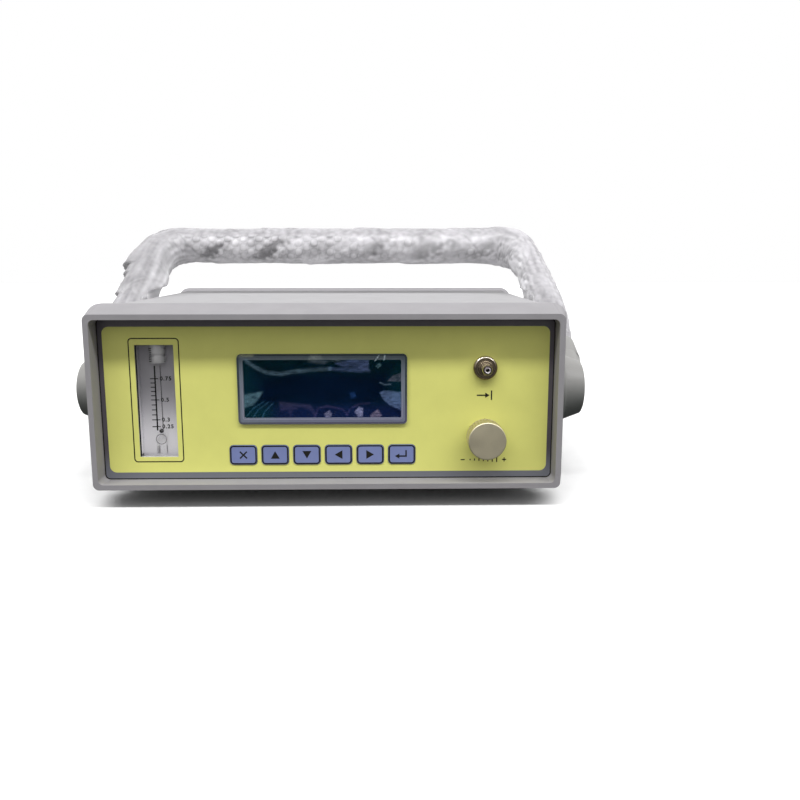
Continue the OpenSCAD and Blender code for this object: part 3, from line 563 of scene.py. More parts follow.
class Paint:
    """The finishes of the instrument."""

    case = Finish("case_plastic", srgb(146, 144, 147), 0.55, grain=0.5, relief=0.018, tone=0.03, specular=0.3)
    # Rear bezel lighter on the front face of its step: a painted highlight.
    case_rear_lit_step = Graded("case_rear_step_highlight", srgb(146, 144, 147), 0.55, grain=0.5, relief=0.018, tone=0.03,
                       specular=0.3, low=srgb(196, 194, 197), fade=(121.2, 121.7), axis=1)
    cover = Finish("cover_paint", srgb(163, 162, 164), 0.5, grain=0.9, relief=0.025, tone=0.03, specular=0.3)
    plate = Finish("panel_metal", srgb(196, 196, 197), 0.42, 0.3, stretch=(0.05, 1, 1), grain=0.4)
    overlay = Finish("overlay_print", srgb(224, 224, 128), 0.42, tone=0.02, grain=0.35, relief=0.008,
                     specular=0.2)
    # Dark printed border, lighter towards the bottom; the lighter lower part is a painted sheen.
    border = Graded("border_print_and_sheen", srgb(84, 79, 86), 0.3, tone=0.06, grain=0.3, relief=0.006,
                    low=srgb(112, 114, 122), fade=(22, 40))
    # Dark line painted as the shade in the gaps between the bezel and the panel and at the clear block's left
    # edge.
    gap = Finish("panel_gap_shade", srgb(26, 25, 28), 0.6, tone=0.1, specular=0.1)
    ink = Finish("black_ink", srgb(30, 29, 26), 0.5, tone=0.1, grain=0.3, relief=0.004, specular=0.2)
    scale_ink = Finish("scale_ink", srgb(20, 20, 20), 0.45, tone=0.1, grain=0.3, relief=0.004, specular=0.2)
    # Display frame darker at the top and lighter towards the bottom: painted shade and painted light.
    display_frame = Graded("display_frame", srgb(78, 82, 88), 0.36, tone=0.05, grain=0.4, specular=0.3,
                           low=srgb(112, 115, 128), fade=(80, 102))
    # Dark ring painted as the shade on the display frame's bevel, lighter towards the bottom as painted
    # light.
    display_rim_shade = Graded("display_rim_shade", srgb(54, 55, 58), 0.4, tone=0.06, grain=0.4, specular=0.2,
                         low=srgb(84, 82, 92), fade=(58, 80))
    # Light line painted as the highlight on the display frame's bevel, lighter towards the bottom.
    display_line_highlight = Graded("display_line_highlight", srgb(88, 92, 98), 0.36, tone=0.06, grain=0.4, specular=0.3,
                          low=srgb(140, 138, 154), fade=(60, 102))
    display = Finish("display_glass", srgb(2, 12, 35), 0.12, tone=0.3, tone_size=40, relief=0.002,
                     specular=0.05)
    window = Clear("display_window", srgb(20, 40, 60), 0.05, opacity=0.02, haze=0.01, relief=0.002,
                   specular=0.1)
    shield = Painted("shield_film", srgb(110, 120, 140), 0.15, tone=0.1, grain=4.0, relief=0.03, specular=0.2)
    key = Finish("key_film", srgb(121, 132, 178), 0.48, tone=0.03, grain=0.4, relief=0.008, specular=0.2)
    acrylic = Clear("meter_acrylic", srgb(196, 194, 200), 0.08, opacity=0.05, haze=0.02, relief=0.002,
                    specular=0.2)
    plug = Painted("meter_plug", srgb(214, 214, 216), 0.2, tone=0.1, tone_size=3, relief=0.004, specular=0.3)
    # Card and bracket behind the clear block, lighter towards the bottom: painted light.
    backing = Graded("meter_backing", srgb(186, 184, 190), 0.4, tone=0.04, stretch=(0.05, 1, 1), grain=0.4,
                     low=srgb(250, 248, 252), fade=(42, 74))
    port_line = Clear("port_line", srgb(90, 90, 94), 0.3, opacity=0.5, haze=0.3, tone_size=4, relief=0.002)
    float_ball = Finish("float_black", srgb(22, 22, 24), 0.15, tone=0.2, tone_size=1.5, relief=0.002)
    # The inlet's nickel is darker than the other nickel as a painted dark reflection; its nipple, rim and
    # upper edge carry painted highlights.
    nickel = Nozzle("inlet_nickel", srgb(122, 110, 92), 0.24, 1.0, axis_x=104, axis_z=92.2, relief=0.008)
    nut = Turned("nut_nickel", srgb(176, 170, 150), 0.28, 1.0, axis_x=104, axis_z=46.6)
    outlet = Turned("outlet_nickel", srgb(160, 156, 142), 0.26, 1.0, axis_x=-113.2, axis_z=92)
    knob = Turned("knob_metal", srgb(200, 192, 167), 0.48, 1.0, axis_x=104, axis_z=46.6, gloss=0.14)
    brass = Finish("brass", srgb(214, 182, 118), 0.32, 1.0, grain=0.3, stretch=(1, 0.2, 1))
    steel = Finish("satin_steel", srgb(190, 190, 192), 0.36, 1.0, grain=0.3, stretch=(1, 0.2, 1))
    tube = Finish("handle_metal", srgb(176, 176, 178), 0.36, 1.0, grain=0.3, stretch=(0.1, 1, 1))
    # Handle arms and hubs darker and greener towards the bottom: painted shade with a painted green
    # reflection.
    arm_with_painted_shade = Graded("handle_plastic", srgb(142, 141, 139), 0.4, grain=0.5, relief=0.02, tone=0.04, specular=0.4,
                 low=srgb(96, 100, 97), fade=(50, 84))
    cap = Finish("cap_plastic", srgb(112, 111, 112), 0.5, grain=0.5, relief=0.02, tone=0.04, specular=0.3)
    rubber = Finish("rubber", srgb(42, 42, 43), 0.72, grain=0.4, relief=0.04, tone=0.12)
    film = Painted("bubble_film", srgb(214, 212, 216), 0.32, tone=0.2, tone_size=7, grain=1.4, relief=0.05,
                   mottle=0.16, soft=0.6)
    black = Finish("switch_black", srgb(34, 34, 35), 0.45, grain=0.4, relief=0.015, tone=0.1)
    red = Finish("switch_red", srgb(176, 38, 32), 0.3, grain=0.4, relief=0.008, tone=0.06)
    board = Finish("circuit_board", srgb(28, 96, 58), 0.42, tone=0.25, tone_size=3, grain=0.5)
    battery = Finish("battery_wrap", srgb(58, 100, 160), 0.3, tone=0.1, grain=0.8)
    hose = Finish("gas_tube", srgb(214, 222, 226), 0.35, tone=0.04, grain=0.8)


NODE_FINISH: dict[Finish, tuple[str, ...]] = {
    Paint.plate: ("front_panel",),
    Paint.overlay: ("panel_overlay",),
    Paint.display: ("lcd_glass",),
    Paint.window: ("lcd_window",),
    Paint.float_ball: ("meter_float",),
    Paint.outlet: ("outlet_fitting", "serial_port", "port_nuts", "meter_fittings"),
    Paint.brass: ("board_standoffs", "valve_body"),
    Paint.steel: ("tie_screws", "foot_screws", "valve_spindle", "valve_needle", "knob_screw",
                  "pivot_nuts", "pivot_bolts", "sensor_cell"),
    Paint.tube: ("handle_tube",),
    Paint.cap: ("pivot_bosses",),
    Paint.backing: ("meter_bracket",),
    Paint.rubber: ("handle_grip", "port_washers"),
    Paint.black: ("tact_switches", "charge_jack"),
    Paint.board: ("lcd_board", "keypad_board", "main_board"),
    Paint.battery: ("battery_pack",),
    Paint.hose: ("gas_lines", "pivot_washers"),
}


def finish_node(node: str, finish: Finish) -> None:
    """Gives a CAD node its material."""
    materials = frame["nodes"][node].data.materials
    materials.clear()
    materials.append(finish.build())


def add_piece(name: str, bm: Mesh, finish: Finish, body: str,
              sharp: float = 35.0) -> bpy.types.Object:
    """Makes an object of a finished bmesh and lets it ride on a body.

    Args:
        name: Name of the piece.
        bm: Mesh in metres, which is freed.
        finish: Finish of the piece.
        body: CAD body that it moves with.
        sharp: Angle in degrees above which an edge stays sharp.

    Returns:
        The new object.
    """
    mesh = bpy.data.meshes.new(name)
    bm.to_mesh(mesh)
    bm.free()
    mesh.shade_smooth()
    mesh.set_sharp_from_angle(angle=math.radians(sharp))
    flat = mesh.attributes.get(FLAT)
    for face in mesh.polygons:
        face.use_smooth = face.area < FLAT_AREA and not (flat and flat.data[face.index].value)
    mesh.materials.append(finish.build())
    piece = bpy.data.objects.new(name, mesh)
    bpy.context.scene.collection.objects.link(piece)
    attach(piece, body)
    log.info("%s: %d faces on %s", name, len(mesh.polygons), body)
    return piece


def eased(node: str, finish: Finish, slot: str, width: float, angle: float = 40.0) -> bpy.types.Object:
    """Stands a copy with rounded edges in for a CAD node.

    Args:
        node: CAD node.
        finish: Finish of the copy.
        slot: Material slot of the record; not used.
        width: Width of the rounding in millimetres.
        angle: Angle in degrees above which an edge is rounded.

    Returns:
        The new object.
    """
    source = frame["nodes"][node]
    bm = bmesh.new()
    bm.from_mesh(source.data)
    bmesh.ops.remove_doubles(bm, verts=bm.verts, dist=MERGE)
    bmesh.ops.dissolve_limit(bm, angle_limit=math.radians(LEVEL), verts=bm.verts, edges=bm.edges)
    flat = bm.faces.layers.int.new(FLAT)
    for face in bmesh.ops.triangulate(bm, faces=[f for f in bm.faces if len(f.verts) > 4])["faces"]:
        face[flat] = 1
    edges = [e for e in bm.edges if e.is_manifold and e.calc_face_angle(0.0) > math.radians(angle)]
    rounded = bmesh.ops.bevel(bm, geom=edges, offset=width * MM, offset_type="OFFSET", segments=2,
                              profile=0.5, affect="EDGES", clamp_overlap=True, material=-1)["faces"]
    for face in rounded:
        face[flat] = 0
    piece = add_piece(f"{node}_eased", bm, finish, source["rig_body"])
    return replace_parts(piece, node)


class Print:
    """Flat printed marks on an upright face, gathered into one piece.

    Attributes:
        spacing: Distance between the numbers' characters, as a share of the font's own.
        weight: Share of the numbers' height by which their strokes grow on each side.
    """

    spacing = 1.25
    weight = 1 / 26

    def __init__(self, face_y: float) -> None:
        """Starts with an empty print.

        Args:
            face_y: Y of the face that carries the print, which looks to -Y.
        """
        self.face_y = face_y
        self.bm = bmesh.new()

    def _lay(self, verts: Iterable[Vert], x: float, z: float, turn: float) -> None:
        """Turns flat XY points upright, and puts them at a place on the face."""
        matrix = Matrix.Translation((x * MM, self.face_y * MM, z * MM)) \
            @ Matrix.Rotation(math.pi / 2, 4, "X") @ Matrix.Rotation(math.radians(turn), 4, "Z")
        bmesh.ops.transform(self.bm, matrix=matrix, verts=list(verts))

    def bar(self, x: float, z: float, width: float, height: float, turn: float = 0.0) -> None:
        """Filled rectangle centred at a place."""
        made = bmesh.ops.create_grid(self.bm, x_segments=1, y_segments=1, size=0.5)["verts"]
        bmesh.ops.scale(self.bm, vec=(width * MM, height * MM, 1), verts=made)
        self._lay(made, x, z, turn)

    def wedge(self, x: float, z: float, radius: float, turn: float) -> None:
        """Filled triangle that points up before it is turned."""
        made = bmesh.ops.create_circle(self.bm, cap_ends=True, segments=3, radius=radius * MM)["verts"]
        self._lay(made, x, z, turn)

    def ring(self, x: float, z: float, size: Pair, radius: float, hole: Pair,
             hole_r: float, rise: float = 0.0) -> None:
        """Outline of a rectangle with round corners.

        Args:
            x: Middle of the outline.
            z: Middle of the outline.
            size: Width and height over the outline.
            radius: Outer corner radius.
            hole: Width and height within the outline.
            hole_r: Inner corner radius.
            rise: Height of the hole's middle over the outline's.
        """
        outer, inner = self._corners(*size, radius), self._corners(*hole, hole_r)
        bmesh.ops.translate(self.bm, vec=(0, rise * MM, 0), verts=inner)
        edges = [e for loop in (outer, inner) for e in self._loop(loop)]
        bmesh.ops.bridge_loops(self.bm, edges=edges)
        self._lay(outer + inner, x, z, 0.0)

    def frame(self, x: float, z: float, size: Pair, radius: float, line: float) -> None:
        """Outline of one width, measured inward from its outer edge.

        Args:
            x: Middle of the outline.
            z: Middle of the outline.
            size: Width and height over the outline.
            radius: Outer corner radius.
            line: Width of the line.
        """
        hole = (size[0] - 2 * line, size[1] - 2 * line)
        self.ring(x, z, size, radius, hole, radius - line)

    def _corners(self, width: float, height: float, radius: float, steps: int = 8) -> list[Vert]:
        """Points of a rectangle with round corners, in order."""
        points = []
        for quarter in range(4):
            sign_x, sign_y = ((1, 1), (-1, 1), (-1, -1), (1, -1))[quarter]
            for step in range(steps + 1):
                angle = math.pi / 2 * (quarter + step / steps)
                points.append(self.bm.verts.new((
                    (sign_x * (width / 2 - radius) + radius * math.cos(angle)) * MM,
                    (sign_y * (height / 2 - radius) + radius * math.sin(angle)) * MM, 0)))
        return points

    def _loop(self, points: list[Vert]) -> list[Edge]:
        """Joins points into a closed loop of edges."""
        return [self.bm.edges.new((a, b)) for a, b in zip(points, points[1:] + points[:1])]

    def text(self, words: str, x: float, z: float, size: float) -> None:
        """Plain numbers, starting at x and centred on z."""
        curve = bpy.data.curves.new("numbers", "FONT")
        curve.body = words
        curve.size = size * MM
        curve.align_y = "CENTER"
        curve.space_character = self.spacing
        curve.offset = size * MM * self.weight
        holder = bpy.data.objects.new("numbers", curve)
        mesh = bpy.data.meshes.new_from_object(holder)
        before = set(self.bm.verts)
        self.bm.from_mesh(mesh)
        self._lay([v for v in self.bm.verts if v not in before], x, z, 0.0)
        bpy.data.objects.remove(holder)
        bpy.data.curves.remove(curve)
        bpy.data.meshes.remove(mesh)

    def finish(self, name: str, finish: Finish, body: str, slot: str) -> bpy.types.Object:
        """Gives the print its thickness and makes the piece."""
        bmesh.ops.remove_doubles(self.bm, verts=self.bm.verts, dist=PRINT_MERGE)
        front = bmesh.ops.extrude_face_region(self.bm, geom=self.bm.faces[:])["geom"]
        moved = [v for v in front if isinstance(v, Vert)]
        bmesh.ops.translate(self.bm, vec=(0, -PRINT_T * MM, 0), verts=moved)
        bmesh.ops.recalc_face_normals(self.bm, faces=self.bm.faces[:])
        return add_piece(name, self.bm, finish, body)


@dataclass
class Case:
    """Bezels, covers and feet."""

    bezel_edge: float = 0.6
    rear_edge: float = 1.3
    cover_edge: float = 0.5
    foot_edge: float = 0.6

    def build(self) -> None:
        """Dresses the case."""
        eased("front_bezel", Paint.case, "case_plastic", self.bezel_edge)
        eased("rear_bezel", Paint.case_rear_lit_step, "case_plastic", self.rear_edge)
        for node in ("top_cover", "bottom_cover"):
            eased(node, Paint.cover, "cover_paint", self.cover_edge)
        eased("feet", Paint.rubber, "rubber", self.foot_edge)


@dataclass
class Panel:
    """Printed front panel: border, meter outline and marks at the port and the valve."""

    face_y: float = -136.0
    centre_z: float = 71.0
    border: Pair = (299.6, 107.6)
    border_r: float = 3.4
    gap: float = 0.6
    yellow: Pair = (292.8, 97.7)
    yellow_z: float = -0.3
    yellow_r: float = 4.5
    outline_at: Pair = (-113.3, 70.55)
    outline: Pair = (33.3, 83.5)
    outline_r: float = 2.6
    outline_line: float = 0.75
    port_x: float = 104.0
    arrow_z: float = 73.6
    arrow_line: float = 0.9
    shaft: Pair = (-2.2, 6.0)
    head: Pair = (1.4, 2.0)
    stop: Pair = (4.6, 6.4)
    marks_z: float = 29.6
    marks_line: float = 0.7
    ticks: int = 7
    tick_x: Pair = (-9.0, 3.0)
    tick_height: Pair = (1.0, 0.45)
    sign_x: float = 14.0
    sign: float = 2.8

    def build(self) -> None:
        """Builds the prints on the panel."""
        edge = Print(self.face_y)
        edge.ring(0, self.centre_z, self.border, self.border_r, self.yellow, self.yellow_r, self.yellow_z)
        edge.finish("panel_border", Paint.border, "case", "overlay_film")
        # A thin dark line along the border's outer edge, painted as the shade where the bezel meets the
        # panel.
        gap = Print(self.face_y - PRINT_T)
        gap.frame(0, self.centre_z, self.border, self.border_r, self.gap)
        gap.finish("panel_gap_shade_line", Paint.gap, "case", "overlay_film")
        marks = Print(self.face_y)
        marks.frame(*self.outline_at, self.outline, self.outline_r, self.outline_line)
        self._inlet_mark(marks)
        self._valve_mark(marks)
        marks.finish("panel_marks", Paint.ink, "case", "overlay_film")

    def _inlet_mark(self, marks: Print) -> None:
        """Arrow into a bracket under the inlet."""
        marks.bar(self.port_x + self.shaft[0], self.arrow_z, self.shaft[1], self.arrow_line)
        marks.wedge(self.port_x + self.head[0], self.arrow_z, self.head[1], -90)
        marks.bar(self.port_x + self.stop[0], self.arrow_z, self.arrow_line, self.stop[1])

    def _valve_mark(self, marks: Print) -> None:
        """Minus and plus at the sides of the knob, with a growing row of ticks below it."""
        line = self.marks_line
        for step in range(self.ticks):
            x = self.port_x + self.tick_x[0] + self.tick_x[1] * step
            marks.bar(x, self.marks_z, line, self.tick_height[0] + self.tick_height[1] * step)
        for side in (-1, 1):
            marks.bar(self.port_x + side * self.sign_x, self.marks_z, self.sign, line)
        stub = (self.sign - line) / 2
        for side in (-1, 1):
            marks.bar(self.port_x + self.sign_x, self.marks_z + side * (line + stub) / 2, line, stub)


@dataclass(frozen=True)
class PaintedReflection:
    """A painted reflection on the display's film: a filled outline, or a stroke along a line.

    Attributes:
        shade: 8-bit colour that it adds in the light of the panel.
        points: Corners, or places along the line, in millimetres from the display's middle.
        width: Width of the stroke, or 0 for a filled outline.
        soft: Width of the blurred edge.
    """

    shade: Shade
    points: Profile
    width: float = 0.0
    soft: float = 1.2

    def share(self, x: float, z: float) -> float:
        """Share of a place that the mark covers.

        Args:
            x: Place to the right of the display's middle.
            z: Place above the display's middle.

        Returns:
            A share from 0 to 1.
        """
        reach = self.width / 2 + self.soft
        for value, values in zip((x, z), zip(*self.points)):
            if not min(values) - reach < value < max(values) + reach:
                return 0.0
        ends = self.points[1:] if self.width else self.points[1:] + self.points[:1]
        gap, inside = math.inf, False
        for (x0, z0), (x1, z1) in zip(self.points, ends):
            along = ((x - x0) * (x1 - x0) + (z - z0) * (z1 - z0)) / ((x1 - x0) ** 2 + (z1 - z0) ** 2)
            along = min(1.0, max(0.0, along))
            gap = min(gap, math.hypot(x - x0 - along * (x1 - x0), z - z0 - along * (z1 - z0)))
            if (z0 > z) != (z1 > z) and x < x0 + (z - z0) / (z1 - z0) * (x1 - x0):
                inside = not inside
        depth = self.width / 2 - gap if self.width else gap if inside else -gap
        return smooth(-self.soft / 2, self.soft / 2, depth)


@dataclass
class Display:
    """Display frame and the clear protective film over it."""

    x: float = -3.5
    z: float = 78.2
    size: Pair = (112.4, 47.6)
    view: Pair = (104.0, 39.0)
    front_y: float = -137.46
    face_y: float = -137.4
    edge: float = 0.35
    # A dark ring painted as the shade on the frame's bevel, and a light line inside it painted as the bevel's
    # highlight.
    rim: Pair = (111.6, 46.8)
    rim_r: float = 2.6
    rim_line: float = 1.3
    lit_line: Pair = (106.0, 41.0)
    lit_line_r: float = 2.0
    lit_line_width: float = 0.6
    # Shape of the film
    film_t: float = 0.03
    cells: tuple[int, int] = (224, 96)
    sag: float = 2.35
    ease: Pair = (0.3, 11.0)
    ease_wander: Patches = Patches(3.5, 13.0, 9.0, 3.0)
    folds: Patches = Patches(0.5, 3.2, 7.5, 8.0)
    lift: float = 0.35
    lift_span: Pair = (0.2, 2.5)
    # Colour of the film: a haze whose teal is a painted reflection, and painted reflections
    light: float = 1.5
    dense: float = 0.7
    haze: Shade = (3, 27, 31)
    haze_low: Shade = (8, 16, 42)
    low_across: Pair = (-40.0, -26.0)
    low_up: Pair = (-15.0, -4.0)
    haze_least: float = 0.12
    haze_span: Pair = (2.0, 15.0)
    haze_wander: Patches = Patches(5.0, 16.0, 10.0, 1.0)
    # Patches that make the painted reflections uneven.
    streak: Pair = (0.15, 0.75)
    streaks: tuple[Patches, ...] = (Patches(0.7, 3.4, 0.9, 6.0), Patches(0.5, 9.0, 6.0, 2.0))
    painted_reflections: tuple[PaintedReflection, ...] = (
        PaintedReflection((66, 84, 96), ((-49.5, 19), (-44, 14.6), (-36.5, 11), (-27.5, 10), (-20, 11.4), (-6, 12.9),
                             (5, 13.5)), 2.6, 1.6),
        PaintedReflection((58, 70, 100), ((5, 13.4), (12, 13), (24, 12), (30.5, 12)), 2.4, 1.4),
        PaintedReflection((70, 80, 116), ((8.5, 17), (15.5, 14.2), (30.3, 12), (30.6, 19.2), (20, 19.6), (13, 18.6)),
              0, 1.6),
        PaintedReflection((66, 72, 78), ((-10, 18.4), (-2, 19.6), (5, 18.6), (1, 16.6), (-5, 17.2)), 0, 1.6),
        PaintedReflection((80, 78, 90), ((43, 5.2), (47, 9), (52, 10.6), (52, 5)), 0, 1.0),
        PaintedReflection((66, 78, 92), ((38, 4), (41, 2.6), (45, 3)), 0.8, 0.8),
        PaintedReflection((74, 90, 122), ((37.6, -2.6), (40.5, -1.4), (52, -2), (52, -14.2), (45, -11.6), (40, -7.4)),
              0, 1.0),
        PaintedReflection((64, 88, 98), ((-51.8, -3.4), (-39.4, -1.8), (-42, -6), (-46, -10.6), (-51.8, -12.6)), 0, 1.6),
        PaintedReflection((32, 28, 44), ((-29, -8.4), (-19, -9.8), (-9, -10.6), (-6, -13), (-5, -19), (-8, -14.6),
                             (-14, -12.2), (-20, -14), (-21.5, -19), (-23, -14), (-28, -14.6)), 0, 1.8),
        PaintedReflection((34, 27, 46), ((-5, -18), (-3.4, -13.2), (3, -11.6), (13, -13.6), (16, -17)), 1.2, 1.2),
        PaintedReflection((32, 27, 46), ((16, -17.5), (18, -13.6), (24, -10.4), (31, -9.8)), 1.1, 1.2),
        PaintedReflection((92, 92, 112), ((0.8, -16.6), (4.4, -14.4), (6, -16.4), (5, -19.4), (2, -18.8)), 0, 1.2),
        PaintedReflection((96, 98, 122), ((21, -15.4), (24, -12.2), (26.6, -13), (26.4, -18.6), (23.4, -18.8)), 0, 1.2),
        PaintedReflection((84, 76, 88), ((31.5, -17.6), (36.4, -13.8), (39, -17.6), (37.4, -19.4), (32, -19.2)), 0, 1.4),
        PaintedReflection((34, 62, 84), ((-36, -9), (-43, -14), (-46, -18.6)), 0.6, 0.8),
        PaintedReflection((34, 62, 84), ((-33, -9.6), (-38.5, -15), (-40, -19)), 0.5, 0.8),
        PaintedReflection((30, 58, 76), ((-39, -8.4), (-46, -12.8), (-50.5, -18)), 0.6, 0.8),
        PaintedReflection((20, 44, 84), ((17.6, -3), (21, -2.2), (22, -5.4), (19, -6.4)), 0, 2.4),
        PaintedReflection((84, 88, 84), ((-9, 19.4), (-7.6, 22.4), (-1, 22.8), (0.6, 20.2)), 0, 1.8),
        PaintedReflection((70, 74, 78), ((6, 19), (7.6, 21.6), (11, 21), (12, 18)), 0, 2.0),
        PaintedReflection((120, 120, 96), ((-55.4, 21.6), (-52, 23.6), (-44.6, 23.4), (-45, 21.8)), 0, 1.6),
        PaintedReflection((170, 178, 184), ((35, 19), (37.4, 22.4)), 0.7, 0.6),
        PaintedReflection((170, 178, 184), ((40.6, 19.6), (41.2, 22.2)), 0.8, 0.6),
        PaintedReflection((110, 140, 150), ((35.6, 15), (37.4, 16.8), (38.6, 16), (36.6, 14)), 0.6, 0.6),
    )

    def build(self) -> None:
        """Builds the frame and the film."""
        eased("lcd_frame", Paint.display_frame, "display_frame", self.edge)
        # Prints the dark ring of painted shade and the light line of painted highlight on the frame's bevel.
        for name, finish, size, radius, line in (
                ("display_rim_shade", Paint.display_rim_shade, self.rim, self.rim_r, self.rim_line),
                ("display_line_highlight", Paint.display_line_highlight, self.lit_line, self.lit_line_r, self.lit_line_width)):
            ink = Print(self.face_y)
            ink.frame(self.x, self.z, size, radius, line)
            ink.finish(name, finish, "case", "display_frame")
        film = self._film()

    def _inset(self, across: float, up: float) -> float:
        """Distance of a place from the edge of the view."""
        return min(self.view[0] / 2 - abs(across), self.view[1] / 2 - abs(up))

    def _depth(self, across: float, up: float) -> float:
        """How far the film lies behind the frame's face.

        Args:
            across: Distance from the display's middle to the right.
            up: Distance from the display's middle upward.

        Returns:
            The depth in millimetres.
        """
        inset = self._inset(across, up)
        start, end = self.ease
        pulled = smooth(start, end + self.ease_wander.at(across, up), inset)
        lifted = smooth(*self.lift_span, inset) * (1 - pulled)
        return self.sag * pulled + (self.folds.at(across, up) + self.lift) * lifted

    def _color(self, across: float, up: float) -> Color:
        """Colour and opacity of the film: a haze that grows toward the rim, its teal a painted reflection,
        and its painted reflections.
        """
        start, end = self.haze_span
        rim = 1 - smooth(start, end + self.haze_wander.at(across, up), self._inset(across, up))
        haze = self.haze_least + (1 - self.haze_least) * rim
        low = (1 - smooth(*self.low_up, up)) * smooth(*self.low_across, across)
        tints = zip(srgb(*self.haze)[:3], srgb(*self.haze_low)[:3])
        glow = [(high + low * (deep - high)) * haze for high, deep in tints]
        least, mean = self.streak
        streak = max(least, mean + sum(patches.at(across, up) for patches in self.streaks))
        for reflection in self.painted_reflections:
            share = reflection.share(across, up) * streak
            glow = [g + share * c for g, c in zip(glow, srgb(*reflection.shade))]
        peak = max(glow)
        return glow[0] / peak, glow[1] / peak, glow[2] / peak, min(self.dense, peak / self.light)

    def _film(self) -> bpy.types.Object:
        """Wrinkled sheet from edge to edge of the frame."""
        bm = bmesh.new()
        layer = bm.verts.layers.float_color.new(PAINT)
        columns, rows = self.cells
        made = bmesh.ops.create_grid(bm, x_segments=columns, y_segments=rows, size=0.5)["verts"]
        bmesh.ops.scale(bm, vec=(*self.size, 1), verts=made)
        for vert in made:
            across, up = vert.co.x, vert.co.y
            vert[layer] = self._color(across, up)
            vert.co = Vector((self.x + across, self.front_y + self._depth(across, up), self.z + up)) * MM
        bmesh.ops.recalc_face_normals(bm, faces=bm.faces[:])
        film = add_piece("display_shield", bm, Paint.shield, "case", ALL_SMOOTH)
        wall = film.modifiers.new("thickness", "SOLIDIFY")
        wall.thickness = self.film_t * MM
        wall.offset = 0.0
        return film


class Symbol(Enum):
    """What is printed on a key."""

    CANCEL = "cancel"
    UP = "up"
    DOWN = "down"
    LEFT = "left"
    RIGHT = "right"
    CONFIRM = "confirm"


@dataclass
class Keypad:
    """Six keys with a dark outline and a symbol each."""

    first_x: float = -57.1
    pitch: float = 21.2
    z: float = 33.6
    face_y: float = -136.5
    size: Pair = (17.7, 12.9)
    corner: float = 2.5
    line: float = 0.95
    edge: float = 0.15
    stroke: float = 1.0
    arrow: float = 3.45
    cross: float = 6.6
    cross_at: float = 1.345
    level: Triple = (0.7, -1.2, 5.4)
    upright: Triple = (2.9, 1.1, 3.6)
    head: Triple = (-2.6, -1.2, 2.0)
    turns: dict[Symbol, float] = field(default_factory=lambda: {
        Symbol.UP: 0, Symbol.LEFT: 90, Symbol.DOWN: 180, Symbol.RIGHT: -90})

    def build(self) -> None:
        """Builds the prints of all keys."""
        for place, symbol in enumerate(Symbol):
            name = symbol.value
            eased(f"key_{name}", Paint.key, "key_film", self.edge)
            ink = Print(self.face_y)
            x = self.first_x + place * self.pitch
            ink.frame(x, self.z, self.size, self.corner, self.line)
            self._symbol(ink, symbol, x)
            ink.finish(f"key_{name}_print", Paint.ink, f"key_{name}_cap", "key_film")

    def _symbol(self, ink: Print, symbol: Symbol, x: float) -> None:
        """Draws one symbol.

        Args:
            ink: Print of the key.
            symbol: Symbol to draw.
            x: Middle of the key.
        """
        if symbol is Symbol.CANCEL:
            ink.bar(x, self.z, self.cross, self.stroke, 45)
            for side in (-self.cross_at, self.cross_at):
                ink.bar(x + side, self.z - side, (self.cross - self.stroke) / 2, self.stroke, -45)
        elif symbol is Symbol.CONFIRM:
            ink.bar(x + self.level[0], self.z + self.level[1], self.level[2], self.stroke)
            ink.bar(x + self.upright[0], self.z + self.upright[1], self.stroke, self.upright[2])
            ink.wedge(x + self.head[0], self.z + self.head[1], self.head[2], 90)
        else:
            degrees = self.turns[symbol]
            turn = math.radians(degrees)
            back = self.arrow / 4
            ink.wedge(x + back * math.sin(turn), self.z - back * math.cos(turn), self.arrow, degrees)


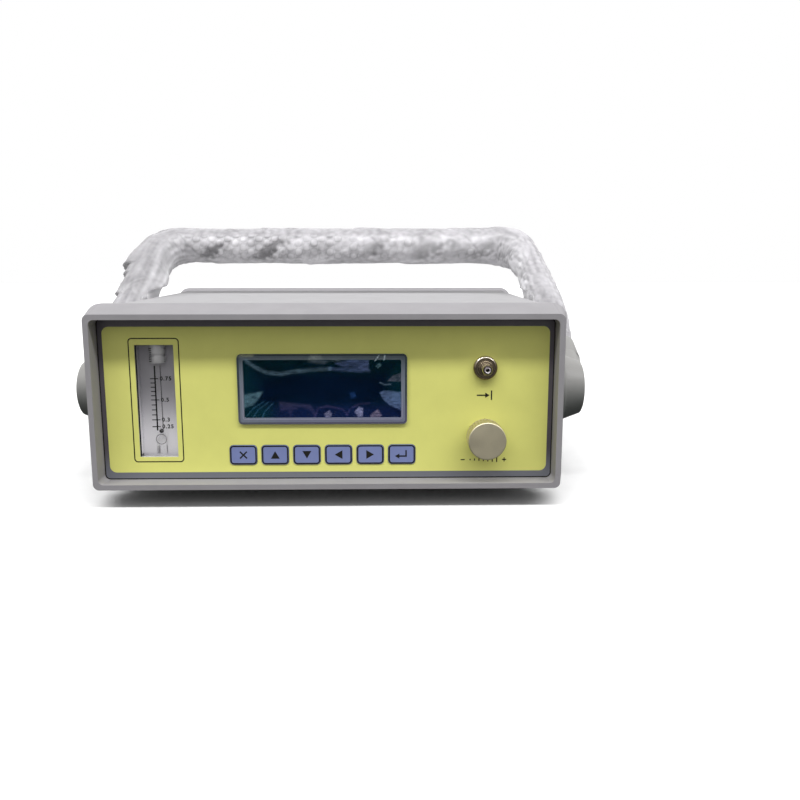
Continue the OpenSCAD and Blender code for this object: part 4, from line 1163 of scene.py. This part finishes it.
@dataclass
class FlowMeter:
    """Scale, numbers and bore lines on the clear block."""

    x: float = -113.2
    z: float = 70.0
    face_y: float = -135.5
    block_edge: Pair = (0.3, 60.0)
    plug_edge: Pair = (0.2, 40.0)
    plug_color: Color = srgb(225, 225, 226)
    plug_alpha: Pair = (0.95, 0.012)
    card_y: float = -124.7
    card: Bar = (-0.5, -2.2, 25.6, 77.8)
    gap: Bar = (-12.0, 0.0, 0.9, 74.7)
    bore: Profile = ((-0.3, 1.0), (3.4, 0.4))
    bore_z: Pair = (2.2, 43.5)
    # Dark bars at the upper plug's side, painted as the shade in its thread grooves.
    thread_y: float = -133.2
    thread_z: Pair = (26.6, 1.4)
    thread: tuple[Triple, ...] = ((-3.3, 1.7, 0.75), (6.0, 0.9, 0.45))
    thread_turn: float = 8.0
    threads: int = 7
    port: Pair = (1.2, -26.0)
    port_d: float = 7.2
    port_line: float = 0.45
    tick: float = 0.62
    major: Pair = (-0.85, 5.5)
    minor: Pair = (-1.9, 3.0)
    number_x: float = 2.9
    number_size: float = 3.6
    majors: dict[str, float] = field(default_factory=lambda: {
        "0.75": 15.3, "0.5": 1.1, "0.3": -12.3, "0.25": -16.9})
    minors: tuple[tuple[float, float, int], ...] = ((15.3, 1.1, 4), (1.1, -12.3, 3))

    def build(self) -> None:
        """Builds the clear block and its scale."""
        self._block()
        ink = Print(self.face_y)
        for label, height in self.majors.items():
            ink.bar(self.x + self.major[0], self.z + height, self.major[1], self.tick)
            ink.text(label, self.x + self.number_x, self.z + height, self.number_size)
        for high, low, count in self.minors:
            for step in range(1, count + 1):
                height = high + (low - high) * step / (count + 1)
                ink.bar(self.x + self.minor[0], self.z + height, self.minor[1], self.tick)
        ink.finish("meter_scale", Paint.scale_ink, "case", "clear_acrylic")
        middle, length = self.bore_z
        bores = [(place, middle, width, length) for place, width in self.bore]
        self._bars("meter_bore_lines", self.face_y, Paint.scale_ink, bores)

    def _bars(self, name: str, face_y: float, finish: Finish, bars: Iterable[Bar]) -> None:
        """Prints bars as one piece.

        Args:
            name: Name of the piece.
            face_y: Y of the face that carries the bars.
            finish: Finish of the bars.
            bars: Middle of each bar from the meter's own, width, height and turn.
        """
        ink = Print(face_y)
        for x, z, *shape in bars:
            ink.bar(self.x + x, self.z + z, *shape)
        ink.finish(name, finish, "case", "clear_acrylic")

    def _block(self) -> None:
        """Dresses the clear block and its plugs, with a white card behind the bore that is painted lighter
        towards the bottom as painted light.
        """
        eased("meter_block", Paint.acrylic, "clear_acrylic", *self.block_edge)
        plugs = eased("meter_plugs", Paint.plug, "clear_acrylic", *self.plug_edge)
        paint = plugs.data.attributes.new(PAINT, "FLOAT_COLOR", "POINT")
        upper, lower = (self.plug_color[:3] + (alpha,) for alpha in self.plug_alpha)
        for vert, spot in zip(plugs.data.vertices, paint.data):
            spot.color = upper if vert.co.z > self.z * MM else lower
        self._bars("meter_card", self.card_y, Paint.backing, [self.card])
        # A dark bar at the block's left edge, painted as the shade in the gap beside it.
        self._bars("meter_gap_shade_line", self.face_y, Paint.gap, [self.gap])
        # Dark bars painted as the shade in the upper plug's thread grooves.
        first, pitch = self.thread_z
        threads = [(x, first + pitch * step, width, height, self.thread_turn)
                   for step in range(self.threads) for x, width, height in self.thread]
        self._bars("plug_thread_shade", self.thread_y, Paint.scale_ink, threads)
        port = Print(self.thread_y)
        port.frame(self.x + self.port[0], self.z + self.port[1], (self.port_d, self.port_d), self.port_d / 2,
                   self.port_line)
        port.finish("meter_port_line", Paint.port_line, "case", "clear_acrylic")


@dataclass
class Valve:
    """Inlet, knob and its panel nut."""

    inlet_edge: Pair = (0.25, 30.0)
    knob_edge: Pair = (0.15, 30.0)
    nut_edge: float = 0.3

    def build(self) -> None:
        """Dresses the turned pieces."""
        eased("inlet_fitting", Paint.nickel, "nickel", *self.inlet_edge)
        eased("valve_knob", Paint.knob, "knob_metal", *self.knob_edge)
        eased("valve_nut", Paint.nut, "nickel", self.nut_edge)


@dataclass
class Wrap:
    """Air-bubble film wound around the handle from one socket over the grip to the other.

    Places along the handle are lengths from the pivot's height up a leg, around the bend and along the bar.
    """

    # Route of the handle
    pivot: Triple = (0.0, -74.0, 69.0)
    lean: float = 55.9
    leg_x: float = 178.7
    tilt: float = 5.2
    reach: float = 185.6
    bend: float = 26.0
    start: float = 47.0
    middle: float = 339.2
    # Rings of points, and the plain inside over the tube and the grip
    around: int = 96
    step: float = 1.05
    inner_step: int = 6
    inner_alpha: float = 0.1
    tube_r: float = 9.7
    grip_r: float = 11.8
    grip_half: float = 131.0
    # Radius of the film by place, on the bend's outer and inner side
    left_out: Profile = (
        (47, 10.7), (58, 11.8), (72, 12.2), (95, 12.4), (102, 12.6), (112, 14.4), (121, 14.4), (130, 15),
        (142, 16.4), (147, 18.4), (154, 19.6), (160, 19.6), (166, 18.4), (178, 18.4), (190, 16.8),
        (202, 15.9), (250, 15.2), (339, 15.9))
    left_in: Profile = (
        (47, 10.7), (70, 11.6), (100, 13), (117, 19.6), (135, 19), (142, 18.4), (148, 16.2), (154, 15.8),
        (166, 16.2), (172, 15.9), (178, 15.3), (190, 14.6), (208, 13.6), (232, 14.6), (240, 15.2),
        (339, 15.3))
    right_out: Profile = (
        (47, 10.7), (64, 12.8), (92, 16.6), (106, 16.4), (118, 15.4), (130, 14.6), (137, 13.9), (155, 13.5),
        (166, 13.2), (172, 14), (178, 17), (187, 19), (195, 17.8), (208, 16.2), (339, 15.9))
    right_in: Profile = (
        (47, 10.7), (70, 11.8), (108, 14.6), (124, 13.2), (136, 12.2), (148, 11.6), (154, 13), (160, 15.4),
        (172, 15), (178, 16), (200, 17), (218, 15.3), (339, 15.3))
    gather: float = 6.0
    sink: float = 0.5
    # Places between which the front's turn changes and the bar's look begins
    bend_span: Pair = (150.0, 205.0)
    bar_span: Pair = (180.0, 225.0)
    front_turn: Pair = (-90.0, -146.0)
    # Air bubbles: their rows, how full they are, and the turn behind which they are flat
    columns: int = 12
    bubble: float = 8.0
    bubble_h: float = 0.75
    bubble_r: float = 0.45
    bubble_rim: Pair = (0.95, 0.3)
    row_share: float = 0.866
    fill: Triple = (0.5, 0.9, 0.35)
    fill_least: float = 0.1
    fill_patch: Triple = (0.45, 0.6, 5.0)
    fill_wave: Pair = (60.0, 45.0)
    flat_share: float = 0.8
    flat_turn: Triple = (-5.0, 32.0, 55.0)
    # Swaying, folds, winding steps, and ragged steps on the left
    sway: Ripple = Ripple(0.7, 30.0, 0.9)
    fold: Ripple = Ripple(2.2, 15.0, 1.4, (0.0, 9.0))
    fold_h: float = 0.4
    seam_h: float = 0.7
    seam_pitch: float = 84.0
    ragged: Profile = ((94, 2.4), (111, 3.0), (137, 3.0), (150, 4.2))
    ragged_skew: float = 12.0
    ragged_fade: float = 9.0
    # Milkiness on the legs and what the bar adds to it, with clouds, specks and streaks
    milk: Pair = (0.72, 0.03)
    clouds: Ripple = Ripple(0.3, 22.0, 1.2)
    speck: Ripple = Ripple(1.0, 4.5, 4.0)
    speck_share: Pair = (0.12, 0.18)
    streak: Ripple = Ripple(0.35, 45.0, 5.0, (4.0, 0.0))
    leg_milk: Pair = (-0.16, 0.12)
    rim_shade: Pair = (0.1, 0.25)
    # Clear patches along the bar: middle, half width and depth
    thin: tuple[Triple, ...] = (
        (-113, 10, 0.85), (-63, 12, 1.0), (27, 11, 0.4), (78, 17, 0.4), (126, 12, 0.5), (147, 6, 0.4))
    thin_turn: float = -160.0
    thin_slant: float = 0.32
    thin_fray: float = 9.0
    thin_edge: Pair = (0.1, 1.0)
    thin_span: Pair = (15.0, 50.0)
    thin_depth: float = 0.8
    thin_shade: float = 0.45
    # Colours painted as shade on the side toward the lamps and as light on the side away from them, and the
    # pale line along the bar painted as a highlight
    sunny: Color = srgb(186, 184, 188)
    pale_film: Color = srgb(250, 249, 252)
    sun_turn: float = -70.0
    sun_span: Pair = (20.0, 125.0)
    dense: Pair = (0.55, 0.43)
    gleam: Pair = (19.0, 14.0)
    gleam_gain: float = 0.2
    gleam_fill: Pair = (0.6, 1.1)
    gleam_patch: Triple = (16.0, 3.0, 7.0)
    # Sides of the case that the film stays clear of as the handle swings
    bezel_x: float = 159.8
    bezel_reach: float = 108.0
    bezel_blend: float = 8.0
    cover_x: float = 156.8
    cover_lean: float = 58.4
    cover_top: float = 62.9
    cover_blend: float = 4.0
    cover_slope: float = 4.0
    pressed: float = 0.5

    def path(self) -> list[tuple[float, float, Matrix]]:
        """Stations along the handle, in its upright frame.

        Returns:
            Side, place and ring frame of each station: X outward, Y across, Z along the path.
        """
        tilt = math.radians(self.tilt)
        knee = self.reach - self.bend
        half = self.leg_x - (self.bend + knee * math.sin(tilt)) / math.cos(tilt)
        leg = (knee + self.bend * math.sin(tilt)) / math.cos(tilt) - self.start
        arc = self.bend * (math.pi / 2 - tilt)
        count = round((leg + arc + half) / self.step)
        stations = []
        for side, index in [(-1, i) for i in range(count + 1)] + [(1, i) for i in range(count - 1, -1, -1)]:
            s = (leg + arc + half) * index / count
            angle = tilt + min(max(s - leg, 0.0), arc) / self.bend
            below, beyond = max(leg - s, 0.0), max(s - leg - arc, 0.0)
            x = half + self.bend * math.cos(angle) + below * math.sin(tilt) - beyond
            z = knee + self.bend * math.sin(angle) - below * math.cos(tilt)
            out = Vector((side * math.cos(angle), 0, math.sin(angle)))
            across = Vector((0, 1, 0))
            ring = Matrix((out, across, out.cross(across))).transposed().to_4x4()
            stations.append((side, self.start + s, Matrix.Translation((side * x, 0, z)) @ ring))
        return stations

    def _body(self, side: float, place: float, angle: float) -> float:
        """Radius of the wound film without its small relief."""
        out = between(self.left_out if side < 0 else self.right_out, place)
        inner = between(self.left_in if side < 0 else self.right_in, place)
        return (out + inner) / 2 + (out - inner) / 2 * math.cos(angle)

    def _run(self, side: float, place: float) -> float:
        """Length along the film from the bar's middle to the right."""
        return side * (self.middle - place)

    def _upward(self, place: float, angle: float) -> float:
        """Degrees up from the line that faces forward."""
        leg, bar = self.front_turn
        front = leg + (bar - leg) * smooth(*self.bend_span, place)
        return math.remainder(math.degrees(angle) - front, 360)

    def _bubble(self, side: float, place: float, angle: float) -> Pair:
        """Height of the air bubbles as a share of a full one, and how close their rims are."""
        run = self._run(side, place)
        pitch = self.bubble * self.row_share
        row = math.floor(run / pitch)
        column = angle / (2 * math.pi) * self.columns + 0.5 * (row % 2)
        along = run - (row + 0.5) * pitch
        aside = (column - math.floor(column) - 0.5) * self.bubble
        mean, scatter, wave = self.fill
        rows, columns, seed = self.fill_patch
        shift, length = self.fill_wave
        fill = mean + scatter * cloud(row * rows, math.floor(column) * columns, seed)
        fill = min(1.0, max(self.fill_least, fill + wave * math.cos((run + shift) / length)))
        front, *span = self.flat_turn
        behind = smooth(*span, abs(self._upward(place, angle) - front))
        fill *= 1 - self.flat_share * smooth(*self.bar_span, place) * behind
        share = math.hypot(along, aside) / (self.bubble_r * self.bubble)
        rim, width = self.bubble_rim
        return fill * math.sqrt(max(0.0, 1 - share * share)), fill * max(0.0, 1 - abs(share - rim) / width)

    def _relief(self, side: float, place: float, angle: float) -> float:
        """Folds, winding steps and bubbles on the film."""
        run = self._run(side, place)
        seam = (run / self.seam_pitch + angle / (2 * math.pi)) % 1.0
        ridge = max(0.0, 1 - abs(self.fold.at(run, angle)))
        height = self.bubble_h * self._bubble(side, place, angle)[0] + self.sway.at(run, angle)
        height += self.seam_h * (1 - seam) + self.fold_h * ridge
        for step, depth in self.ragged if side < 0 else ():
            past = place - step - self.ragged_skew * math.sin(angle)
            if past > 0:
                height += depth * max(0.0, math.cos(angle)) ** 2 * math.exp(-past / self.ragged_fade)
        return height

    def _milk(self, side: float, place: float, angle: float, x: float) -> float:
        """Milkiness from 0 to 1: high on the legs, low in patches along the bar.

        Args:
            side: -1 on the left half, 1 on the right half.
            place: Place along the handle.
            angle: Angle around the handle.
            x: X of the point.

        Returns:
            The share of milkiness.
        """
        run = self._run(side, place)
        bare = smooth(*self.bar_span, place)
        speck = self.speck.at(run, angle)
        milk = self.milk[0] + self.milk[1] * bare + self.clouds.at(run, angle)
        milk += (self.speck_share[0] + self.speck_share[1] * bare) * speck
        milk += (1 - bare) * (self.streak.at(run, angle) + self.leg_milk[0 if side < 0 else 1])
        off = math.remainder(math.degrees(angle) - self.thin_turn, 360)
        shown = self.thin_depth * (1 - smooth(*self.thin_span, abs(off)))
        for middle, width, depth in self.thin:
            away = abs(x - middle - self.thin_slant * off + self.thin_fray * speck) / width
            milk -= shown * depth * (1 - smooth(*self.thin_edge, away))
        rims = self._bubble(side, place, angle)[1] * (self.rim_shade[0] + self.rim_shade[1] * bare)
        return min(1.0, max(0.0, milk - rims))

    def _color(self, side: float, place: float, angle: float, x: float) -> Color:
        """Colour and opacity of the film: painted shade toward the lamps and painted light away from them,
        with a pale line along the bar painted as a highlight.
        """
        milk = self._milk(side, place, angle, x)
        # Painted shade on the side toward the lamps, painted light on the side away from them.
        turned = abs(math.remainder(math.degrees(angle) - self.sun_turn, 360))
        shelter = smooth(*self.sun_span, turned)
        pale = [a + (b - a) * shelter for a, b in zip(self.sunny, self.pale_film)]
        # A pale line along the bar, painted as a highlight.
        middle, half = self.gleam
        length, *seed = self.gleam_patch
        patch = self.gleam_fill[0] + self.gleam_fill[1] * cloud(self._run(side, place) / length, *seed)
        line = max(0.0, 1 - abs(self._upward(place, angle) - middle) / half)
        gleam = self.gleam_gain * smooth(*self.bar_span, place) * line * max(0.0, patch)
        shade = (self.thin_shade + (1 - self.thin_shade) * milk) * (1 + gleam)
        red, green, blue = (min(1.0, c * shade) for c in pale[:3])
        return red, green, blue, min(1.0, self.dense[0] + self.dense[1] * milk + gleam)

    def _clear(self, point: Vector) -> Vector:
        """Moves a point of the film outward where the case would touch it as the handle swings."""
        lean = math.radians(self.cover_lean)
        rise = point.z * math.cos(lean) - point.y * math.sin(lean) - self.cover_top
        limit = self.cover_x - self.cover_slope * max(0.0, rise) if rise < self.cover_blend else 0.0
        near = smooth(0.0, self.bezel_blend, self.bezel_reach - math.hypot(point.y, point.z))
        limit = max(limit, near * self.bezel_x)
        return Vector((math.copysign(max(abs(point.x), limit), point.x), point.y, point.z))

    def build(self) -> None:
        """Builds the film over the CAD sleeve's place."""
        bm = bmesh.new()
        layer = bm.verts.layers.float_color.new(PAINT)
        stations = self.path()
        last = len(stations) - 1
        first = ring = list(bmesh.ops.create_circle(bm, segments=self.around, radius=1.0)["verts"])
        for index in range(last + 1):
            if index:
                ring = self._advance(bm, ring)
            end = min(index, last - index) * self.step
            self._shape(ring, layer, *stations[index], end)
        inner = list(range(last, -1, -self.inner_step))
        for index in inner if inner[-1] == 0 else inner + [0]:
            ring = self._advance(bm, ring)
            self._line(ring, layer, stations[index][2])
        bmesh.ops.bridge_loops(bm, edges=[e for loop in (ring, first) for e in self._edges(loop)])
        pose = Matrix.Scale(MM, 4) @ Matrix.Translation(self.pivot) \
            @ Matrix.Rotation(math.radians(-self.lean), 4, "X")
        bmesh.ops.transform(bm, matrix=pose, verts=bm.verts[:])
        bmesh.ops.recalc_face_normals(bm, faces=bm.faces[:])
        film = add_piece("bubble_wrap", bm, Paint.film, "handle", ALL_SMOOTH)
        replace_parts(film, "handle_wrap")

    def _edges(self, ring: list[Vert]) -> list[Edge]:
        """Edges that join the points of a ring, in order."""
        pairs = zip(ring, ring[1:] + ring[:1])
        return [next(e for e in a.link_edges if e.other_vert(a) is b) for a, b in pairs]

    def _advance(self, bm: Mesh, ring: list[Vert]) -> list[Vert]:
        """Extrudes the next ring, in the same order as the last one."""
        geom = bmesh.ops.extrude_edge_only(bm, edges=self._edges(ring))["geom"]
        new = {v for v in geom if isinstance(v, Vert)}
        return [next(e.other_vert(v) for e in v.link_edges if e.other_vert(v) in new) for v in ring]

    def _shape(self, ring: list[Vert], layer: Any, side: float, place: float, at: Matrix,
               end: float) -> None:
        """Puts a ring on the film's outside, gathered in at the ends of the path.

        Args:
            ring: Points of the ring.
            layer: Colour layer of the mesh.
            side: -1 on the left half, 1 on the right half.
            place: Place along the handle.
            at: Ring frame.
            end: Distance from the nearer end of the film.
        """
        gather = smooth(0.0, self.gather, end)
        for index, vert in enumerate(ring):
            angle = 2 * math.pi * index / len(ring)
            radius = self._body(side, place, angle) + self._relief(side, place, angle) * gather - self.sink
            spot = at @ Vector((radius * math.cos(angle), radius * math.sin(angle), 0))
            vert.co = self._clear(spot)
            pressed = (vert.co - spot).length > self.pressed
            # Points pushed outward get the palest colour: painted light where the pushed film lies in shade.
            vert[layer] = self.pale_film if pressed else self._color(side, place, angle, spot.x)

    def _line(self, ring: list[Vert], layer: Any, at: Matrix) -> None:
        """Puts a ring on the film's plain inside."""
        radius = self.grip_r if abs(at.translation.x) < self.grip_half else self.tube_r
        for index, vert in enumerate(ring):
            angle = 2 * math.pi * index / len(ring)
            vert.co = at @ Vector((radius * math.cos(angle), radius * math.sin(angle), 0))
            vert[layer] = self.pale_film[:3] + (self.inner_alpha,)


@dataclass
class Handle:
    """Hubs, caps and the film around the tube."""

    arm_edge: Pair = (0.8, 40.0)
    cap_edge: Pair = (0.3, 30.0)

    def build(self) -> None:
        """Dresses the arms and wraps the tube."""
        for side in ("left", "right"):
            eased(f"handle_arm_{side}", Paint.arm_with_painted_shade, "handle_plastic", *self.arm_edge)
            eased(f"hub_cap_{side}", Paint.cap, "handle_plastic", *self.cap_edge)
        Wrap().build()


@dataclass
class Rear:
    """Rear panel with its switch and sockets."""

    z: float = 70.0
    serial_x: float = -20.0
    pin_rows: tuple[tuple[float, int], ...] = ((1.42, 5), (-1.42, 4))
    pin_pitch: float = 2.77
    pin_y: float = 150.15
    pin_r: Pair = (0.55, 0.4)
    pin_t: float = 0.5
    panel_edge: float = 0.3
    housing_edge: float = 0.25
    rocker_edge: Pair = (0.3, 25.0)

    def build(self) -> None:
        """Dresses the rear fittings and adds the connector's contact holes."""
        eased("rear_panel", Paint.cover, "panel_metal", self.panel_edge)
        eased("switch_housing", Paint.black, "switch_black", self.housing_edge)
        eased("switch_rocker", Paint.red, "switch_red", *self.rocker_edge)
        bm = bmesh.new()
        wide, narrow = self.pin_r
        for rise, count in self.pin_rows:
            for place in range(count):
                made = bmesh.ops.create_cone(bm, cap_ends=True, segments=16, radius1=wide * MM,
                                             radius2=narrow * MM, depth=self.pin_t * MM)["verts"]
                x = self.serial_x + (place - (count - 1) / 2) * self.pin_pitch
                matrix = Matrix.Translation(Vector((x, self.pin_y, self.z + rise)) * MM) \
                    @ Matrix.Rotation(-math.pi / 2, 4, "X")
                bmesh.ops.transform(bm, matrix=matrix, verts=made)
        add_piece("serial_contacts", bm, Paint.black, "case")


@dataclass
class Studio:
    """Floor, light and camera."""

    eye: Triple = (37.1, -665.6, 165.8)
    pitch: float = 10.19
    yaw: float = 1.15
    lens: float = 36.45
    sun: float = 3.3
    sun_height: float = 65.3
    sun_spread: float = 8.0
    sun_turns: tuple[int, ...] = (-40, -30, -20, -10, 0, 10, 20, 30, 40, 50)
    sky: float = 0.75
    horizon: float = 0.54
    sky_span: Pair = (-0.2, 0.9)
    bench: float = 0.08
    bench_color: Color = (0.9, 0.9, 0.9, 1.0)
    bench_half: float = 4.0

    def build(self) -> None:
        """Sets up the view of the photograph."""
        scene = bpy.context.scene
        scene.view_settings.view_transform = "Standard"
        camera = bpy.data.objects.new("camera", bpy.data.cameras.new("camera"))
        camera.data.lens = self.lens
        camera.location = [c * MM for c in self.eye]
        camera.rotation_euler = (math.radians(90 - self.pitch), 0, math.radians(-self.yaw))
        scene.collection.objects.link(camera)
        scene.camera = camera
        for turn in self.sun_turns:
            self._sun(scene, math.radians(turn))
        self._world(scene)
        self._floor()

    def _sun(self, scene: bpy.types.Scene, turn: float) -> None:
        """Adds one strip of a long light overhead, which throws sharp shadows only of level edges."""
        sun = bpy.data.objects.new("key_light", bpy.data.lights.new("key_light", "SUN"))
        total = sum(math.cos(math.radians(t)) ** 2 for t in self.sun_turns)
        sun.data.energy = self.sun * math.cos(turn) / total
        sun.data.angle = math.radians(self.sun_spread)
        height = math.radians(self.sun_height)
        way = Vector((-math.sin(turn), math.cos(turn) * math.cos(height), -math.cos(turn) * math.sin(height)))
        sun.rotation_euler = way.to_track_quat("-Z", "Y").to_euler()
        scene.collection.objects.link(sun)

    def _world(self, scene: bpy.types.Scene) -> None:
        """Soft light that is stronger from above, behind a white backdrop."""
        scene.world = bpy.data.worlds.new("studio")
        scene.world.use_nodes = True
        graph = Graph(scene.world.node_tree)
        way = Wire(graph, graph.add("ShaderNodeTexCoord").outputs[0])
        height = graph.add("ShaderNodeSeparateXYZ", None, {0: way}).outputs[2]
        rise = Wire(graph, height).ramp(*self.sky_span)
        level = rise * (self.sky - self.horizon) + self.horizon
        seen = graph.seen("Is Camera Ray", "Is Glossy Ray", "Is Transmission Ray")
        strength = graph.math("MAXIMUM", seen.ramp(0.0, 0.5), level)
        shade = graph.add("ShaderNodeBackground", None, {"Color": (1, 1, 1, 1), "Strength": strength})
        graph.add("ShaderNodeOutputWorld", None, {0: Wire(graph, shade.outputs[0])})

    def _floor(self) -> None:
        """Bench top that looks white and throws little light back."""
        bm = bmesh.new()
        bmesh.ops.create_grid(bm, x_segments=1, y_segments=1, size=self.bench_half)
        mesh = bpy.data.meshes.new("floor")
        bm.to_mesh(mesh)
        bm.free()
        bench = Bench("floor", self.bench_color, 0.7, tone=0.01, relief=0.01, specular=0.0, back=self.bench)
        mesh.materials.append(bench.build())
        floor = bpy.data.objects.new("floor", mesh)
        bpy.context.scene.collection.objects.link(floor)


def main() -> None:
    """Builds the instrument piece by piece."""
    logging.basicConfig(level=logging.INFO, format="%(name)s: %(message)s")
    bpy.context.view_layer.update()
    Studio().build()
    for finish, nodes in NODE_FINISH.items():
        for node in nodes:
            finish_node(node, finish)
    for assembly in (Case(), Panel(), Display(), Keypad(), FlowMeter(), Valve(), Handle(), Rear()):
        assembly.build()
        log.info("%s is done", type(assembly).__name__)


if __name__ == "__main__":
    main()
